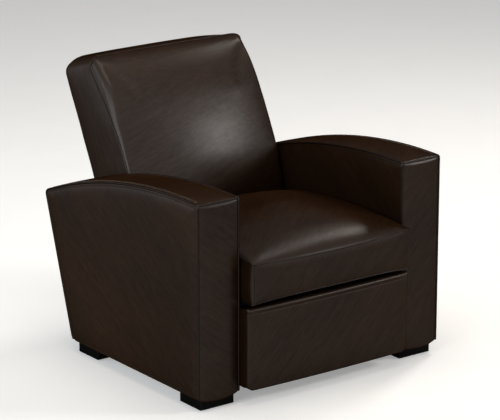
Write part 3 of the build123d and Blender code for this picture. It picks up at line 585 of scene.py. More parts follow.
ARM_ALONG = spread(ARM_LENGTH, 0.0025, 0.011) / ARM_LENGTH
ARM_UP = spread(ARM_HEIGHT, 0.0025, 0.011) / ARM_HEIGHT
below_top = np.arange(1, 19) * 0.001
ARM_UP = np.unique(np.round(np.concatenate([ARM_UP, 1 - below_top / ARM_HEIGHT]), 6))
print("arm outline", len(ARM_ALONG), "by", len(ARM_UP), "points, arch top at",
      round(float(arm_sides(0, ARM_ALONG, ARM_UP)[1][:, 1].max()), 4))

# %% [markdown]
# In section the strip goes from the inner panel round a groove for the welt, across its padding and
# round the other groove. The groove fades out on the underside, where the leather is only turned
# under. A plain rounded edge would do for a view from afar, but the shadow in the groove is what
# makes the welt read as a welt. The side panels are filled between their four sides, the way a sheet
# is stretched over a frame, and then puffed by the wadding.
#
# Across the top of the front panel runs a seam without a welt. It is pressed into the strip itself, a
# little below the corner, with the padding rolling over it from below.

# %% The corner in section, and the strip's padding
# A corner in millimetres: (in from the outline, away from the side panel).
GROOVED = [(12.0, 0.0), (9.0, 0.0), (7.2, 0.1), (5.8, 0.6), (4.6, 1.6), (3.3, 3.3),
           (1.6, 4.6), (0.6, 5.8), (0.1, 7.2), (0.0, 9.0)]
PLAIN = [(12.0, 0.0), (9.0, 0.1), (6.8, 0.7), (4.9, 1.7), (3.4, 2.9), (2.3, 4.3),
         (1.4, 5.6), (0.7, 6.8), (0.3, 7.8), (0.0, 9.2)]
STRIP_FROM, STRIP_CROWN, STRIP_DROOP = 0.008, 0.0028, 0.0080
PANEL_LENGTH, PANEL_PUFF_OUT, PANEL_PUFF_IN = 0.72, 0.0045, 0.0030
SEAM_BELOW, SEAM_DEEP, SEAM_WIDE, SEAM_ROLL = 0.0032, 0.0042, 0.0012, 0.0100


def section(corner):
    """The strip with both its corners in millimetres: (in from the outline, away from the inner panel)."""
    width = (OUTER - INNER) * 1000
    middle = (12, *(spread(width - 24, 4, 11)[1:-1] + 12), width - 12)
    return corner + [(0.0, x) for x in middle] + [(inset, width - x) for inset, x in corner[::-1]]


def padded_strip(face, share, climb, reach, y, z):
    """Where a point of the strip goes for the padding: climb is its height, reach its way to the rear."""
    across = abs(2 * share - 1)
    crown, droop = (1 - across ** 3.5) * STRIP_CROWN, (1 - across ** 2.2) * STRIP_DROOP
    if face == "top":
        crown *= 1 - math.exp(-reach / 0.012)
        return y - (ARCH_Y - y) / ARCH * crown, z + crown
    if face == "rear":
        return y + crown, z
    if face == "underside":
        return y, z - crown - droop * math.exp(-reach / 0.050)
    beyond = ARM_HEIGHT - climb - SEAM_BELOW
    crown *= min(max(beyond / SEAM_ROLL, 0), 1)
    sunk = 1 - rolled(beyond, SEAM_ROLL) if beyond > 0 else math.exp(-(beyond / SEAM_WIDE) ** 2)
    return y - crown + SEAM_DEEP * sunk, z - droop * math.exp(-climb / 0.030)


print("strip", round(section(PLAIN)[-1][1]), "mm wide in", len(section(PLAIN)), "points")


# %% One arm as a closed skin
def face_at(j, k):
    """The face that a point of the arm lies on, where "panel" is an inner or outer one."""
    if k == len(ARM_UP) - 1:
        return "top"
    if j in (0, len(ARM_ALONG) - 1):
        return "front" if j == 0 else "rear"
    return "panel" if k else "underside"


def stretched(j, k, bottom, top, front, rear):
    """A place on a sheet stretched between its four sides, less what their corners count twice."""
    b, c = ARM_ALONG[j], ARM_UP[k]
    corners = (1 - c) * ((1 - b) * bottom[0] + b * bottom[-1]) + c * ((1 - b) * top[0] + b * top[-1])
    return (1 - c) * bottom[j] + c * top[j] + (1 - b) * front[k] + b * rear[k] - corners


def arm_cover(side):
    grooved, plain = section(GROOVED), section(PLAIN)
    across, width = len(grooved) - 1, OUTER - INNER
    cells, quads = block(across, len(ARM_ALONG) - 1, len(ARM_UP) - 1)
    borders = [[arm_sides(line[i][0] / 1000, ARM_ALONG, ARM_UP) for line in (grooved, plain)]
               for i in range(across + 1)]
    points = []
    for i, j, k in cells:
        x, b, c = grooved[i][1] / 1000, ARM_ALONG[j], ARM_UP[k]
        sides = borders[i][0 if k > 1 else 1]
        face = face_at(j, k)
        if face == "panel":
            y, z = stretched(j, k, *sides)
            near = min(b * PANEL_LENGTH, (1 - b) * PANEL_LENGTH, c * ARM_HEIGHT, (1 - c) * ARM_HEIGHT)
            x += (PANEL_PUFF_OUT if i else -PANEL_PUFF_IN) * rise(near, 0.020)
        else:
            bottom, top, front, rear = sides
            y, z = {"underside": bottom[j], "top": top[j], "front": front[k], "rear": rear[k]}[face]
        if 0 < i < across:
            share = min(max((x - STRIP_FROM) / (width - 2 * STRIP_FROM), 0), 1)
            y, z = padded_strip(face, share, c * ARM_HEIGHT, b * ARM_LENGTH, y, z)
        points.append(((INNER + x) * side, y, z))
    name = "left" if side < 0 else "right"
    return skin(f"arm_leather_{name}", points, quads, hides[f"{name} arm"])


arms = {"left": arm_cover(-1), "right": arm_cover(1)}
for name, arm in arms.items():
    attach(arm, "base")
    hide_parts(f"arm_cover_{name}", f"arm_padding_{name}")
    print(arm.name, len(arm.data.vertices), "points")

# %% [markdown]
# A welt runs along both edges of every arm, up the front, over the arch and down the rear. It follows
# the same outline, drawn in by about half its radius, so it is half sunk in its groove and stands a
# little proud of the corner. On the top strip two rows of topstitching run beside the outer welt. They
# could be drawn point by point too, but the outline already knows where the top lies.

# %% The arms' welts and topstitching
def arm_line(inset, x, first=0.0):
    """Up the front, over the arch and down the rear, at x."""
    shares_up, shares_along = np.linspace(first, 1, 60), np.linspace(0, 1, 90)
    _, top, front, rear = arm_sides(inset, shares_along, shares_up)
    side = np.vstack([front[:-1], top[:-1], rear[::-1]])
    return np.column_stack([np.full(len(side), x), side])


WELT_IN, ARM_WELT = 0.0016, 0.0030
TOPSTITCH = {"near": (0.0085, 0.0010), "far": (0.0145, 0.0015)}
for name, side in (("left", -1), ("right", 1)):
    trims = []
    for place, x in (("inner", INNER + WELT_IN), ("outer", OUTER - WELT_IN)):
        line = even_line(arm_line(WELT_IN, x * side, 0.006), 0.006)
        trims.append(welt(f"arm_welt_{place}_{name}", line, ARM_WELT))
    for row, (depth, lift) in TOPSTITCH.items():
        _, top, _, _ = arm_sides(0.0, np.linspace(0.025, 0.985, 160), np.array([1.0]))
        line = np.column_stack([np.full(len(top), (OUTER - depth) * side), top])
        outward = np.column_stack([np.zeros(len(top)), (top - (ARCH_Y, ARCH_Z)) / ARCH])
        line[:, 1:] += outward[:, 1:] * lift
        trims.append(stitches(f"arm_topstitch_{row}_{name}", line, outward))
    for trim in trims:
        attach(trim, "base")
    print(name, "arm has", len(trims), "welts and rows of stitching")

# %% [markdown]
# ## The back cushion
#
# The back is a raked slab. Seen from the side its boxing strip is widest at the small of the back, and
# above it the front panel is full and rolls over its seam. A few stretched spheres could give that
# fullness, but not the seam beside it. So its shape is worked out in the plane of the back: `up` runs
# along it and `out` stands forward from the outer back. Short tables of heights, as a maker's template
# has them, say where the seam lies, how far the front panel puffs beyond it, how wide that roll is and
# how the outer back runs.

# %% Where the back's seam and front face lie
BACK_Y, BACK_Z, LEAN = 0.331, 0.485, math.radians(24.5)
SEAM_UP = np.array([-230, -178, -126, -75, -22, 0, 40, 78, 114, 157, 197, 229, 262, 295, 340]) / 1000
SEAM_OUT = np.array([134, 149, 163, 173, 179.5, 179.5, 178, 175.5,
                     170, 163, 153, 143.5, 134, 124, 118]) / 1000
PUFF_UP = np.array([-230, -120, -40, 0, 40, 78, 114, 157, 200, 250, 290, 340]) / 1000
PUFF_OUT = np.array([9, 9, 8, 6.6, 8.3, 12.4, 15.6, 23, 32.8, 40.7, 36.5, 29]) / 1000
ROLL_WIDE = np.array([14, 14, 12, 10, 11, 12, 13, 16, 18, 20, 21, 21]) / 1000
REAR_UP = np.array([-230, 60, 100, 150, 200, 225, 250, 340]) / 1000
REAR_OUT = np.array([-2, -1.5, -0.5, -0.5, -2.3, -3.8, -6, -7]) / 1000
BACK_LOW, BACK_HIGH, BACK_HALF = -0.229, 0.336, 0.273
BACK_CROWN, TOP_ROLL = 0.026, 0.030


def on_back(x, up, out):
    """A place on the back cushion in the chair's own directions."""
    return np.stack([x, BACK_Y + up * math.sin(LEAN) - out * math.cos(LEAN),
                     BACK_Z + up * math.cos(LEAN) + out * math.sin(LEAN)], -1)


def eased(places, at, values):
    """A smooth curve through a short table, as the mean of nearby straight pieces."""
    shifts = np.linspace(-0.022, 0.022, 9)
    return np.mean([np.interp(places + s, at, values) for s in shifts], axis=0)


def back_seam(up):
    return eased(up, SEAM_UP, SEAM_OUT)


def back_face(x, up):
    """How far out the front face is: the puff beside the seam and the crown in the middle."""
    edge = BACK_HALF - np.abs(x)
    top = np.maximum(BACK_HIGH - up, 0)
    low = np.maximum(up - BACK_LOW, 0)
    wide_roll = eased(up, PUFF_UP, ROLL_WIDE)
    puff = eased(up, PUFF_UP, PUFF_OUT) * rolled(edge, wide_roll) * rolled(top, TOP_ROLL) * rise(low, 0.012)
    wide = 1 - (x / BACK_HALF) ** 2
    tall = np.clip(1 - ((up - 0.02) / 0.34) ** 2, 0, 1)
    return back_seam(up) + puff + BACK_CROWN * wide * tall


print("seat-side face at the small of the back stands", round(float(back_face(0.0, -0.02)), 3), "m out")

# %% [markdown]
# The block of cells gives the boxing on both sides, the top boxing, which climbs towards the rear, and
# the front panel. A bevel would round both top corners by one radius from front to rear, but here they
# are rounder the further back they lie. So the top edge is drawn down near both sides, by an amount
# that grows with depth.

# %% The back cushion as a closed skin
def corner_drop(x, reach, fall):
    """How far a rounded top corner lies below the top edge: it starts at reach and falls this much."""
    return fall * (1 - rolled(BACK_HALF - np.abs(x), reach))


TOP_CLIMB, SIDE_SWELL, TOP_SWELL, REAR_STEP, REAR_ROUND = 0.0285, 0.004, 0.004, 0.009, 0.006


def back_cushion():
    xs = spread(2 * BACK_HALF, 0.0025, 0.0105) - BACK_HALF
    ups = spread(BACK_HIGH - BACK_LOW, 0.0025, 0.0105) + BACK_LOW
    depths = spread(1.0, 0.03, 0.09)
    cells, quads = block(len(xs) - 1, len(depths) - 1, len(ups) - 1)
    i, j, k = cells.T
    x, up, depth = xs[i], ups[k].copy(), depths[j]
    share = (up - BACK_LOW) / (BACK_HIGH - BACK_LOW)
    drop = corner_drop(x, 0.032 + 0.038 * depth, 0.032 + 0.008 * depth)
    top = BACK_HIGH - 0.001 + TOP_CLIMB * depth - drop
    up = BACK_LOW + share * (top - BACK_LOW)
    seam = back_seam(up)
    front = np.where(j == 0, back_face(x, up), seam)
    rim = np.minimum(BACK_HALF - np.abs(x), top - up)
    rear = eased(up, REAR_UP, REAR_OUT) + REAR_STEP * np.clip((rim - 0.008) / 0.006, 0, 1)
    out = front + (rear - front) * depth
    on_side = (i == 0) | (i == len(xs) - 1)
    on_top = k == len(ups) - 1
    inside = rise(depth * seam, 0.012) * rise((1 - depth) * seam, 0.012)
    swell = rise(share * 0.56, 0.03) * rise((1 - share) * 0.56, 0.03)
    x = np.where(on_side, x + np.sign(x) * SIDE_SWELL * inside * swell, x)
    x = x * (1 - 0.010 * np.clip((0.12 - up) / 0.08, 0, 1))
    wide = rise(BACK_HALF - np.abs(x), 0.03)
    up = np.where(on_top, up + TOP_SWELL * inside * wide, up)
    rear_round = np.clip((depth - 0.80) / 0.20, 0, 1) * (share > 0.9) * (share - 0.9) / 0.1
    up = up - REAR_ROUND * (1 - rolled(1 - rear_round, 1.0))
    made = skin("back_leather", on_back(x, up, out), quads, hides["back"])
    return made, cells, (len(xs), len(depths), len(ups))


back, back_cells, back_counts = back_cushion()
print(back.name, len(back.data.vertices), "points")

# %% [markdown]
# ## The seat cushion
#
# A box cushion: a crowned top panel, a boxing strip in front and along the sides, and a flat base on
# the seat deck. A block with a bevel would have straight seams, but on the real one the front's upper
# seam sags by about a centimetre and its lower one bows up by half of that. The top swells right
# behind the front seam, which is what catches the light. Upright seams close the boxing near both
# front corners, and the rear end is cut to the face of the back cushion, with a few millimetres to
# spare.

# %% The seat cushion as a closed skin
SEAT_FRONT, SEAT_HALF, SEAT_LOW, SEAT_TOP = -0.4660, 0.280, 0.2995, 0.4170
SEAT_SHARE = np.array([0.0, 0.06, 0.16, 0.32, 0.5, 0.77, 1.0])
SEAT_EDGE = np.array([0, 3, 9, 11, 10, -3, -28]) / 1000
SEAT_CROWN = np.array([0, 6, 18, 31, 36, 35, 26]) / 1000
SEAT_DEPTH, SEAT_SAG, SEAT_BOW, SEAT_LIP = 0.59, 0.0100, 0.005, 0.012
FRONT_PUFF, SIDE_PUFF, SEAM_IN, SEAM_SUNK, BEHIND_SEAT = 0.007, 0.005, 0.0070, 0.0028, 0.118


def back_front_y(x, z, gap):
    """y of the front face of the back cushion at a height, less a gap."""
    up = np.full_like(z, 0.0)
    for _ in range(12):
        out = np.where(up < BACK_LOW, back_seam(np.full_like(up, BACK_LOW)), back_face(x, up))
        up = np.clip((z - BACK_Z - out * math.sin(LEAN)) / math.cos(LEAN), BACK_LOW, BACK_HIGH)
    return BACK_Y + up * math.sin(LEAN) - (out + gap) * math.cos(LEAN)


def seat_cushion():
    xs = spread(2.0, 0.011, 0.038) - 1
    corner_seam = np.array([5, 6, 7, 8, 9, 10]) / 1000 / SEAT_HALF
    xs = np.unique(np.round(np.concatenate([xs, corner_seam - 1, 1 - corner_seam]), 6))
    ys = spread(1.0, 0.006, 0.018)
    zs = spread(1.0, 0.03, 0.08)
    cells, quads = block(len(xs) - 1, len(ys) - 1, len(zs) - 1)
    i, j, k = cells.T
    a, b, c = xs[i], ys[j], zs[k]
    low = SEAT_LOW + SEAT_BOW * (1 - a ** 6) * np.exp(-b / 0.12)
    sag = SEAT_SAG * (1 - a ** 2) * np.exp(-b / 0.04)
    high = SEAT_TOP - sag + np.interp(b, SEAT_SHARE, SEAT_EDGE)
    z = low + c * (high - low)
    x = a * (SEAT_HALF - 0.004 * np.sin(math.pi * b))
    rear = np.minimum(back_front_y(x, z, 0.004), BEHIND_SEAT)
    y = SEAT_FRONT + b * (rear - SEAT_FRONT)
    tall, beside = high - low, (1 - np.abs(a)) * SEAT_HALF
    ahead, behind = b * SEAT_DEPTH, (1 - b) * SEAT_DEPTH
    puffed = rise(c * tall, 0.014) * rise((1 - c) * tall, 0.014)
    front, sides, top = j == 0, (i == 0) | (i == len(xs) - 1), k == len(zs) - 1
    y = np.where(front, y - FRONT_PUFF * puffed * rise(beside, 0.018), y)
    seam = SEAM_SUNK * np.exp(-((beside - SEAM_IN) / 0.0013) ** 2)
    y = np.where(front, y + seam * np.sin(math.pi * c) ** 0.3, y)
    x = np.where(sides, x + np.sign(a) * SIDE_PUFF * puffed * rise(ahead, 0.02) * rise(behind, 0.02), x)
    crown = np.interp(b, SEAT_SHARE, SEAT_CROWN) * (1 - np.abs(a) ** 2.3)
    lip = SEAT_LIP * rise(ahead, 0.012) * rise(beside, 0.012) * rise(behind, 0.02)
    z = np.where(top, z + crown + lip, z)
    points = rounded_plan(np.stack([x, y, z], -1), 0.004 + 0.005 * np.sin(math.pi * c))
    return points, quads, cells, (len(xs), len(ys), len(zs))


def rounded_plan(points, radius):
    """Draws the two upright front corners in to a radius, which may differ from point to point."""
    x, y = points[:, 0], points[:, 1]
    over_x = np.maximum(np.abs(x) - (SEAT_HALF - radius), 0)
    over_y = np.maximum((SEAT_FRONT + radius) - y, 0)
    both, kept = round_corner(over_x, over_y)
    points[:, 0] = np.where(both, np.sign(x) * (SEAT_HALF - radius + over_x * kept), x)
    points[:, 1] = np.where(both, SEAT_FRONT + radius - over_y * kept, y)
    return points


seat_points, seat_quads, seat_cells, seat_counts = seat_cushion()
seat = skin("seat_leather", seat_points, seat_quads, hides["seat"])
print(seat.name, len(seat.data.vertices), "points")

# %% [markdown]
# ## Padding that pushes the leather out
#
# A formula makes a cushion too perfect. Bumps could be drawn on it, but padding pushes leather in its
# own way, most where it is furthest from a seam. Blender's cloth can blow each cushion up a little
# from the inside while its seams are held, which gives the slack and the pulls of sewn leather. The
# seams must not move, so they are pinned, and no point may go further than a cap.

# %% Blow a cushion up with its seams held
def blown(piece, held):
    """Blows a cushion up from the inside with some points held, none of them moved beyond a cap."""
    cap, pressure, frames = 0.008, 4.0, 20
    before = np.array([v.co for v in piece.data.vertices])
    group = piece.vertex_groups.new(name="seams")
    group.add([int(n) for n in held], 1.0, "REPLACE")
    cloth = piece.modifiers.new("cloth", "CLOTH")
    settings = cloth.settings
    settings.quality = 6
    settings.mass = 0.4
    settings.tension_stiffness = settings.compression_stiffness = 60
    settings.shear_stiffness = 25
    settings.bending_stiffness = 8
    settings.use_pressure = True
    settings.uniform_pressure_force = pressure
    settings.effector_weights.gravity = 0
    settings.vertex_group_mass = group.name
    scene = bpy.context.scene
    for number in range(1, frames + 1):
        scene.frame_set(number)
    graph = bpy.context.evaluated_depsgraph_get()
    result = piece.evaluated_get(graph).to_mesh()
    after = np.array([v.co for v in result.vertices])
    piece.evaluated_get(graph).to_mesh_clear()
    piece.modifiers.remove(cloth)
    scene.frame_set(1)
    move = after - before
    length = np.linalg.norm(move, axis=1)
    limited = cap * np.tanh(length / cap)
    move *= (limited / np.maximum(length, 1e-9))[:, None]
    piece.data.vertices.foreach_set("co", (before + move).ravel())
    piece.data.update()
    print(piece.name, "moved up to", round(float(length.max()) * 1000, 1), "mm, kept to",
          round(float(limited.max()) * 1000, 1))


def seam_points(cells, counts):
    """Numbers of the points on the twelve edges of a block."""
    ends = [(cells[:, axis] == 0) | (cells[:, axis] == counts[axis] - 1) for axis in range(3)]
    return np.nonzero(ends[0].astype(int) + ends[1] + ends[2] >= 2)[0]


resting = np.nonzero((seat_cells[:, 2] == 0) | (seat_cells[:, 1] == seat_counts[1] - 1))[0]
blown(seat, np.union1d(seam_points(seat_cells, seat_counts), resting))
against = np.nonzero((back_cells[:, 1] == back_counts[1] - 1) | (back_cells[:, 2] == 0))[0]
blown(back, np.union1d(seam_points(back_cells, back_counts), against))
print(len(resting), "points of the seat and", len(against), "of the back stay against what is behind them")
for piece, body, nodes in ((seat, "seat", ("seat_cushion_cover", "seat_cushion_core")),
                           (back, "backrest", ("back_cover", "back_padding"))):
    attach(piece, body)
    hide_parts(*nodes)

# %% [markdown]
# ## Welts of the back and seat
#
# The back has a welt in its front seam and one in its rear seam, and the seat has one round its top
# and one round its base, except behind, where none shows. They could follow the tables above, but the
# cloth has moved the leather a little since. The seams are where the blocks' edges are, so each welt
# is drawn through the cushion's own edge points and stays on it whatever the cloth did.

# %% Welts along the cushions' own edges
def edge_line(piece, cells, wanted):
    """A piece's points whose cell numbers are wanted, in that order."""
    number = {tuple(int(n) for n in cell): at for at, cell in enumerate(cells)}
    return np.array([piece.data.vertices[number[cell]].co for cell in wanted])


def up_and_over(counts, row):
    """Cell numbers up the left edge, over the top and down the right edge of a row of the block."""
    nx, _, nz = counts
    left = [(0, row, k) for k in range(2, nz)]
    over = [(i, row, nz - 1) for i in range(1, nx)]
    right = [(nx - 1, row, k) for k in range(nz - 2, 1, -1)]
    return left + over + right


def round_the_front(counts, level):
    """Cell numbers forward along the left edge, across the front and back along the right edge."""
    nx, ny, _ = counts
    left = [(0, j, level) for j in range(ny - 3, 0, -1)]
    front = [(i, 0, level) for i in range(nx)]
    right = [(nx - 1, j, level) for j in range(1, ny - 3)]
    return left + front + right


for name, row, radius in (("front", 0, 0.0026), ("rear", back_counts[1] - 1, 0.0022)):
    line = edge_line(back, back_cells, up_and_over(back_counts, row))
    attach(welt(f"back_{name}_welt", line, radius), "backrest")
for name, level, radius in (("top", seat_counts[2] - 1, 0.0022), ("base", 0, 0.0024)):
    line = edge_line(seat, seat_cells, round_the_front(seat_counts, level))
    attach(welt(f"seat_{name}_welt", line, radius), "seat")
print("welts on the cushions' edges")

# %% [markdown]
# ## The footrest
#
# The footrest is a padded board, wrapped in leather round its front and its edges: a crowned front
# panel with rounded lower corners and, along its top edge, a rolled lip that is sewn down. The lip
# could be a tube laid on the panel, but on the real one it is the same piece of hide, folded over. So
# it is formed in the panel itself, with closer rows of points near the top, and the top face falls
# away behind it.

# %% The footrest panel
REST_HALF, REST_LOW, REST_HIGH, REST_FACE, REST_REAR = 0.2868, 0.0430, 0.2862, -0.4590, -0.4085
REST_CORNER, REST_EDGE, REST_CROWN, REST_PUFF, TOP_FALL = 0.022, 0.0035, 0.006, 0.003, 0.0075
LIP_ROLL, LIP_SWELL, LIP_AT, LIP_WIDE, LIP_TUCK, TUCK_AT = 0.0065, 0.0022, 0.0075, 0.006, 0.0014, 0.0165


def lip_swell(below):
    """How far the lip stands forward, at a distance below the top."""
    return LIP_SWELL * np.exp(-((below - LIP_AT) / LIP_WIDE) ** 2)


def footrest_panel():
    xs = spread(2.0, 0.008, 0.04) - 1
    ys = np.array([0.0, 0.10, 0.3, 0.55, 0.8, 0.93, 1.0])
    zs = np.concatenate([spread(0.9, 0.008, 0.045), np.linspace(0.9, 1.0, 19)[1:]])
    cells, quads = block(len(xs) - 1, len(ys) - 1, len(zs) - 1)
    i, j, k = cells.T
    a, b, c = xs[i], ys[j], zs[k]
    height = REST_HIGH - REST_LOW
    z = REST_LOW + c * height
    x = a * REST_HALF
    over_x = np.maximum(np.abs(x) - (REST_HALF - REST_CORNER), 0)
    over_z = np.maximum(REST_LOW + REST_CORNER - z, 0)
    both, kept = round_corner(over_x, over_z)
    x = np.where(both, np.sign(x) * (REST_HALF - REST_CORNER + over_x * kept), x)
    z = np.where(both, REST_LOW + REST_CORNER - over_z * kept, z)
    edge, below = np.minimum((1 - np.abs(a)) * REST_HALF, c * height), (1 - c) * height
    round_off = REST_EDGE * (1 - rolled(edge, REST_EDGE)) + LIP_ROLL * (1 - rolled(below, LIP_ROLL))
    crown = REST_CROWN * (1 - a ** 2) + REST_PUFF * rise(edge, 0.03) * rise(below, 0.02)
    tuck = LIP_TUCK * np.exp(-((below - TUCK_AT) / 0.0018) ** 2)
    face = REST_FACE + 0.004 - crown + round_off + tuck - lip_swell(below)
    y = face + b * (REST_REAR - face)
    z = z - TOP_FALL * np.clip(b * 1.6, 0, 1) * np.clip((c - 0.9) * 10, 0, 1)
    x = np.where((b > 0) & (b < 1) & (np.abs(a) > 0.999), x + np.sign(a) * 0.001, x)
    return skin("footrest_leather", np.stack([x, y, z], -1), quads, hides["footrest"])


footrest = footrest_panel()
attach(footrest, "footrest")
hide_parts("footrest_cover", "footrest_padding")
print(footrest.name, len(footrest.data.vertices), "points")

# %% [markdown]
# The footrest's hide ends on the back of the board, under a backing of black cloth. More of that
# cloth hangs as strips below the front and the sides of the seat deck. They are lining of a kind such
# chairs have, and they are also painted shade: their black darkens the gap above the footrest, where
# shade falls, and keeps the deck's rails from showing through it. Thin cards would do from one side,
# but cloth has two faces and an edge, so each strip is a thin block whose faces are drawn a little hollow.

# %% The board's cloth backing, and strips of black cloth under the seat, partly painted shade
def cloth_block(name, low, high):
    """A block of stretched cloth between two corners, its faces drawn slightly hollow."""
    spans = [spread(high[axis] - low[axis], 0.004, 0.03) + low[axis] for axis in range(3)]
    cells, quads = block(*[len(span) - 1 for span in spans])
    points = np.stack([spans[axis][cells[:, axis]] for axis in range(3)], -1)
    for axis in range(3):
        across = [other for other in range(3) if other != axis]
        near = np.min([np.minimum(points[:, o] - low[o], high[o] - points[:, o]) for o in across], axis=0)
        hollow = 0.0008 * rise(near, 0.02)
        points[:, axis] += hollow * (points[:, axis] == low[axis]) - hollow * (points[:, axis] == high[axis])
    return skin(name, points, quads, lining)


backing = cloth_block("footrest_backing", (-0.2825, -0.4325, 0.0480), (0.2825, -0.4075, 0.2780))
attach(backing, "footrest")
# The strips' black is painted shade for the gap between the seat and the footrest, as well as lining.
APRON_LOW, APRON_HIGH, APRON_FRONT, APRON_REAR = 0.2655, 0.2985, -0.3985, -0.3260
front_low, front_high = (-0.2748, APRON_FRONT, APRON_LOW), (0.2748, APRON_FRONT + 0.004, APRON_HIGH)
shade_aprons = [cloth_block("seat_apron_front", front_low, front_high)]
for name, near, far in (("left", -0.2752, -0.2722), ("right", 0.2722, 0.2752)):
    low, high = (near, APRON_FRONT + 0.0042, APRON_LOW), (far, APRON_REAR, APRON_HIGH)
    shade_aprons.append(cloth_block(f"seat_apron_{name}", low, high))
for strip in shade_aprons:
    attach(strip, "seat")
print("footrest backing and", len(shade_aprons), "apron strips")

# %% [markdown]
# Two rows of thread hold the folded lip. A straight row would sink into the crowned panel in the
# middle and hang in the air at its ends. So their line follows the panel's own crown and swell, and
# the stitches lie on the leather from end to end.

# %% Two rows of stitches hold the rolled lip
def lip_line(x, below):
    """Across the front of the footrest, at a distance below its top."""
    crown = REST_CROWN * (1 - (x / REST_HALF) ** 2)
    round_off = REST_EDGE * (1 - rolled(REST_HALF - np.abs(x), REST_EDGE))
    y = REST_FACE + 0.004 - crown - lip_swell(below) + round_off
    return np.stack([x, y, np.full_like(x, REST_HIGH - below)], -1)


stitch_x = np.linspace(-REST_HALF + 0.006, REST_HALF - 0.006, 120)
direction = np.tile((0.0, -1.0, 0.1), (len(stitch_x), 1))
for name, below in (("upper", 0.0066), ("lower", 0.0122)):
    row = stitches(f"footrest_stitch_{name}", lip_line(stitch_x, below), direction, 0.0070, 0.0010)
    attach(row, "footrest")
    print(row.name, round(below * 1000, 1), "mm below the top")

# %% [markdown]
# ## The outer back and the lower rear panel
#
# Behind, two plain panels close the chair: one on the outer back, which tilts with it, and one between
# the arms that stays. Both are leather over a thin pad, edged with a welt. Each could be modelled by
# itself, but they differ only in size and place, so one function makes both and is told where its
# own up and out lie in the chair.

# %% A flat padded panel with a welt round it
def flat_panel(name, half, low, high, thickness, puff, place, corner):
    """A padded panel, wide in x and tall in its own up; place() sets it in the chair."""
    xs = spread(2 * half, 0.002, 0.013) - half
    ups = spread(high - low, 0.002, 0.013) + low
    depths = np.array([0.0, 0.25, 0.6, 1.0])
    cells, quads = block(len(xs) - 1, len(depths) - 1, len(ups) - 1)
    i, j, k = cells.T
    x, up, depth = xs[i].copy(), ups[k].copy(), depths[j]
    over_x = np.maximum(np.abs(x) - (half - corner), 0)
    over_up = np.maximum(up - (high - corner), 0) + np.minimum(up - (low + corner), 0)
    both, kept = round_corner(over_x, np.abs(over_up))
    x = np.where(both, np.sign(x) * (half - corner + over_x * kept), x)
    up = np.where(both, np.where(over_up > 0, high - corner, low + corner) + over_up * kept, up)
    near = np.minimum(half - np.abs(x), np.minimum(up - low, high - up))
    swell = puff * rise(near, 0.022) - 0.003 * np.exp(-np.maximum(near, 0) / 0.003)
    out = np.where(j == len(depths) - 1, thickness + swell, depth * (thickness - 0.003))
    panel = skin(name, place(x, up, out), quads, espresso)
    nx, ny, nz = len(xs) - 1, len(depths) - 1, len(ups) - 1
    ring = [(i, ny, 0) for i in range(nx)] + [(nx, ny, k) for k in range(nz)]
    ring += [(i, ny, nz) for i in range(nx, 0, -1)] + [(0, ny, k) for k in range(nz, 0, -1)]
    line = even_line(edge_line(panel, cells, ring), 0.009)
    return panel, welt(f"{name}_welt", line, 0.0021, closed=True)


def behind_back(x, up, out):
    return on_back(x, up, eased(up, REAR_UP, REAR_OUT) + 0.012 - out)


def between_arms(x, up, out):
    y = REAR + (up - UNDERSIDE) * math.tan(RAKE) - 0.008 - 0.012
    return np.stack([x, y + out * math.cos(RAKE), up - out * math.sin(RAKE)], -1)


outer_back = flat_panel("outer_back_leather", 0.2620, -0.226, 0.330, 0.010, 0.004, behind_back, 0.03)
rear_panel = flat_panel("rear_panel_leather", 0.2882, 0.0525, 0.3245, 0.0105, 0.004, between_arms, 0.008)
for (panel, trim), body, node in ((outer_back, "backrest", "back_outer_panel"),
                                  (rear_panel, "base", "rear_panel_cover")):
    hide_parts(node)
    for piece in (panel, trim):
        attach(piece, body)
print("rear panels", outer_back[0].name, rear_panel[0].name)

# %% [markdown]
# ## The studio
#
# The chair stands on a pale floor in a white surround. A white box round it would light it from
# everywhere and wash its brown out, so the surround is white only where the camera or a reflection
# sees it, and dim as a light. The floor shows almost white except where the chair shades it.

# %% World and floor
world = bpy.data.worlds.new("studio")
bpy.context.scene.world = world
world.use_nodes = True
tree = world.node_tree
background = tree.nodes["Background"]
background.inputs["Color"].default_value = (1.0, 1.0, 1.0, 1.0)
paths = tree.nodes.new("ShaderNodeLightPath")
seen = paths.outputs["Is Camera Ray"]
for output in ("Is Glossy Ray", "Is Transmission Ray"):
    most = tree.nodes.new("ShaderNodeMath")
    most.operation = "MAXIMUM"
    tree.links.new(seen, most.inputs[0])
    tree.links.new(paths.outputs[output], most.inputs[1])
    seen = most.outputs[0]
strength = tree.nodes.new("ShaderNodeMapRange")
tree.links.new(seen, strength.inputs["Value"])
strength.inputs["To Min"].default_value = 0.16
strength.inputs["To Max"].default_value = 1.0
tree.links.new(strength.outputs[0], background.inputs["Strength"])


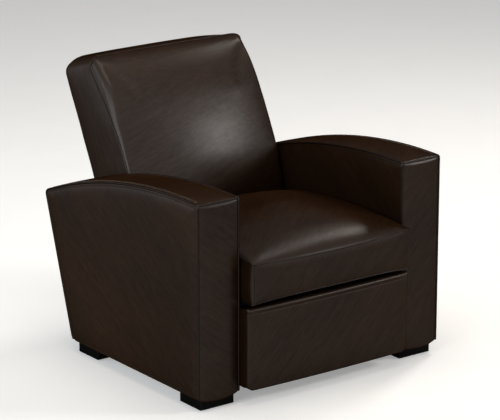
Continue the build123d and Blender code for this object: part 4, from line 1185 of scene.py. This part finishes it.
def floor_finish():
    f = Finish("pale floor", Roughness=0.9, Specular_IOR_Level=0.0)
    dust = f.noise(f.place, 6.0, 3.0).between(0.3, 0.7)
    f.feed(f.shader.inputs["Base Color"], f.colour_mix(dust, (0.86, 0.86, 0.86, 1), (0.89, 0.89, 0.89, 1)))
    seen = f.node("ShaderNodeLightPath", output="Is Camera Ray")
    f.shader.inputs["Emission Strength"].default_value = 1.0
    f.feed(f.shader.inputs["Emission Color"], f.colour_mix(seen, (0, 0, 0, 1), (0.3, 0.3, 0.3, 1)))
    return f.made


floor_mesh = bpy.data.meshes.new("floor")
floor_mesh.from_pydata([(-30, -30, 0), (30, -30, 0), (30, 30, 0), (-30, 30, 0)], [], [(0, 1, 2, 3)])
floor_mesh.materials.append(floor_finish())
floor = bpy.data.objects.new("floor", floor_mesh)
bpy.context.scene.collection.objects.link(floor)
print("white surround and pale floor")

# %% [markdown]
# Six soft lamps light the chair. One large lamp would be enough to see it, but waxed leather shows
# its form by what it reflects: two wide softboxes on the left edge the back and the arm, a low one
# behind greys the outer arm, a small one in front gives the spot on the back, a small one high on the
# right lights the swell behind the seat's front seam, and a warm one overhead browns the tops.

# %% Soft lamps
def soft_lamp(name, place, aim, width, height, power, colour=(1, 1, 1)):
    lamp = bpy.data.lights.new(name, "AREA")
    lamp.shape = "RECTANGLE"
    lamp.size, lamp.size_y, lamp.energy, lamp.color = width, height, power, colour
    made = bpy.data.objects.new(name, lamp)
    bpy.context.scene.collection.objects.link(made)
    made.location = place
    made.rotation_euler = (Vector(aim) - Vector(place)).to_track_quat("-Z", "Y").to_euler()
    return made


soft_lamp("left softbox", (-3.9, -1.7, 1.9), (0, 0, 0.6), 2.3, 1.2, 40, (0.92, 0.97, 1.0))
soft_lamp("left softbox, behind", (-4.1, 0.8, 1.2), (0, 0, 0.6), 2.3, 1.2, 40, (0.92, 0.97, 1.0))
soft_lamp("rear left", (-2.5, 3.1, 0.95), (0, 0, 0.4), 2.4, 1.7, 40, (0.85, 0.94, 1.0))
soft_lamp("front right", (3.05, -2.95, 2.35), (0, 0, 0.5), 0.9, 0.9, 62, (1.0, 0.97, 0.92))
soft_lamp("high right", (2.6, 0.65, 3.1), (0, 0, 0.4), 0.6, 0.6, 44, (1.0, 0.95, 0.88))
soft_lamp("overhead", (-0.2, -0.2, 3.6), (0, 0, 0.4), 2.2, 2.2, 44, (1.0, 0.88, 0.74))
print("six soft lamps")
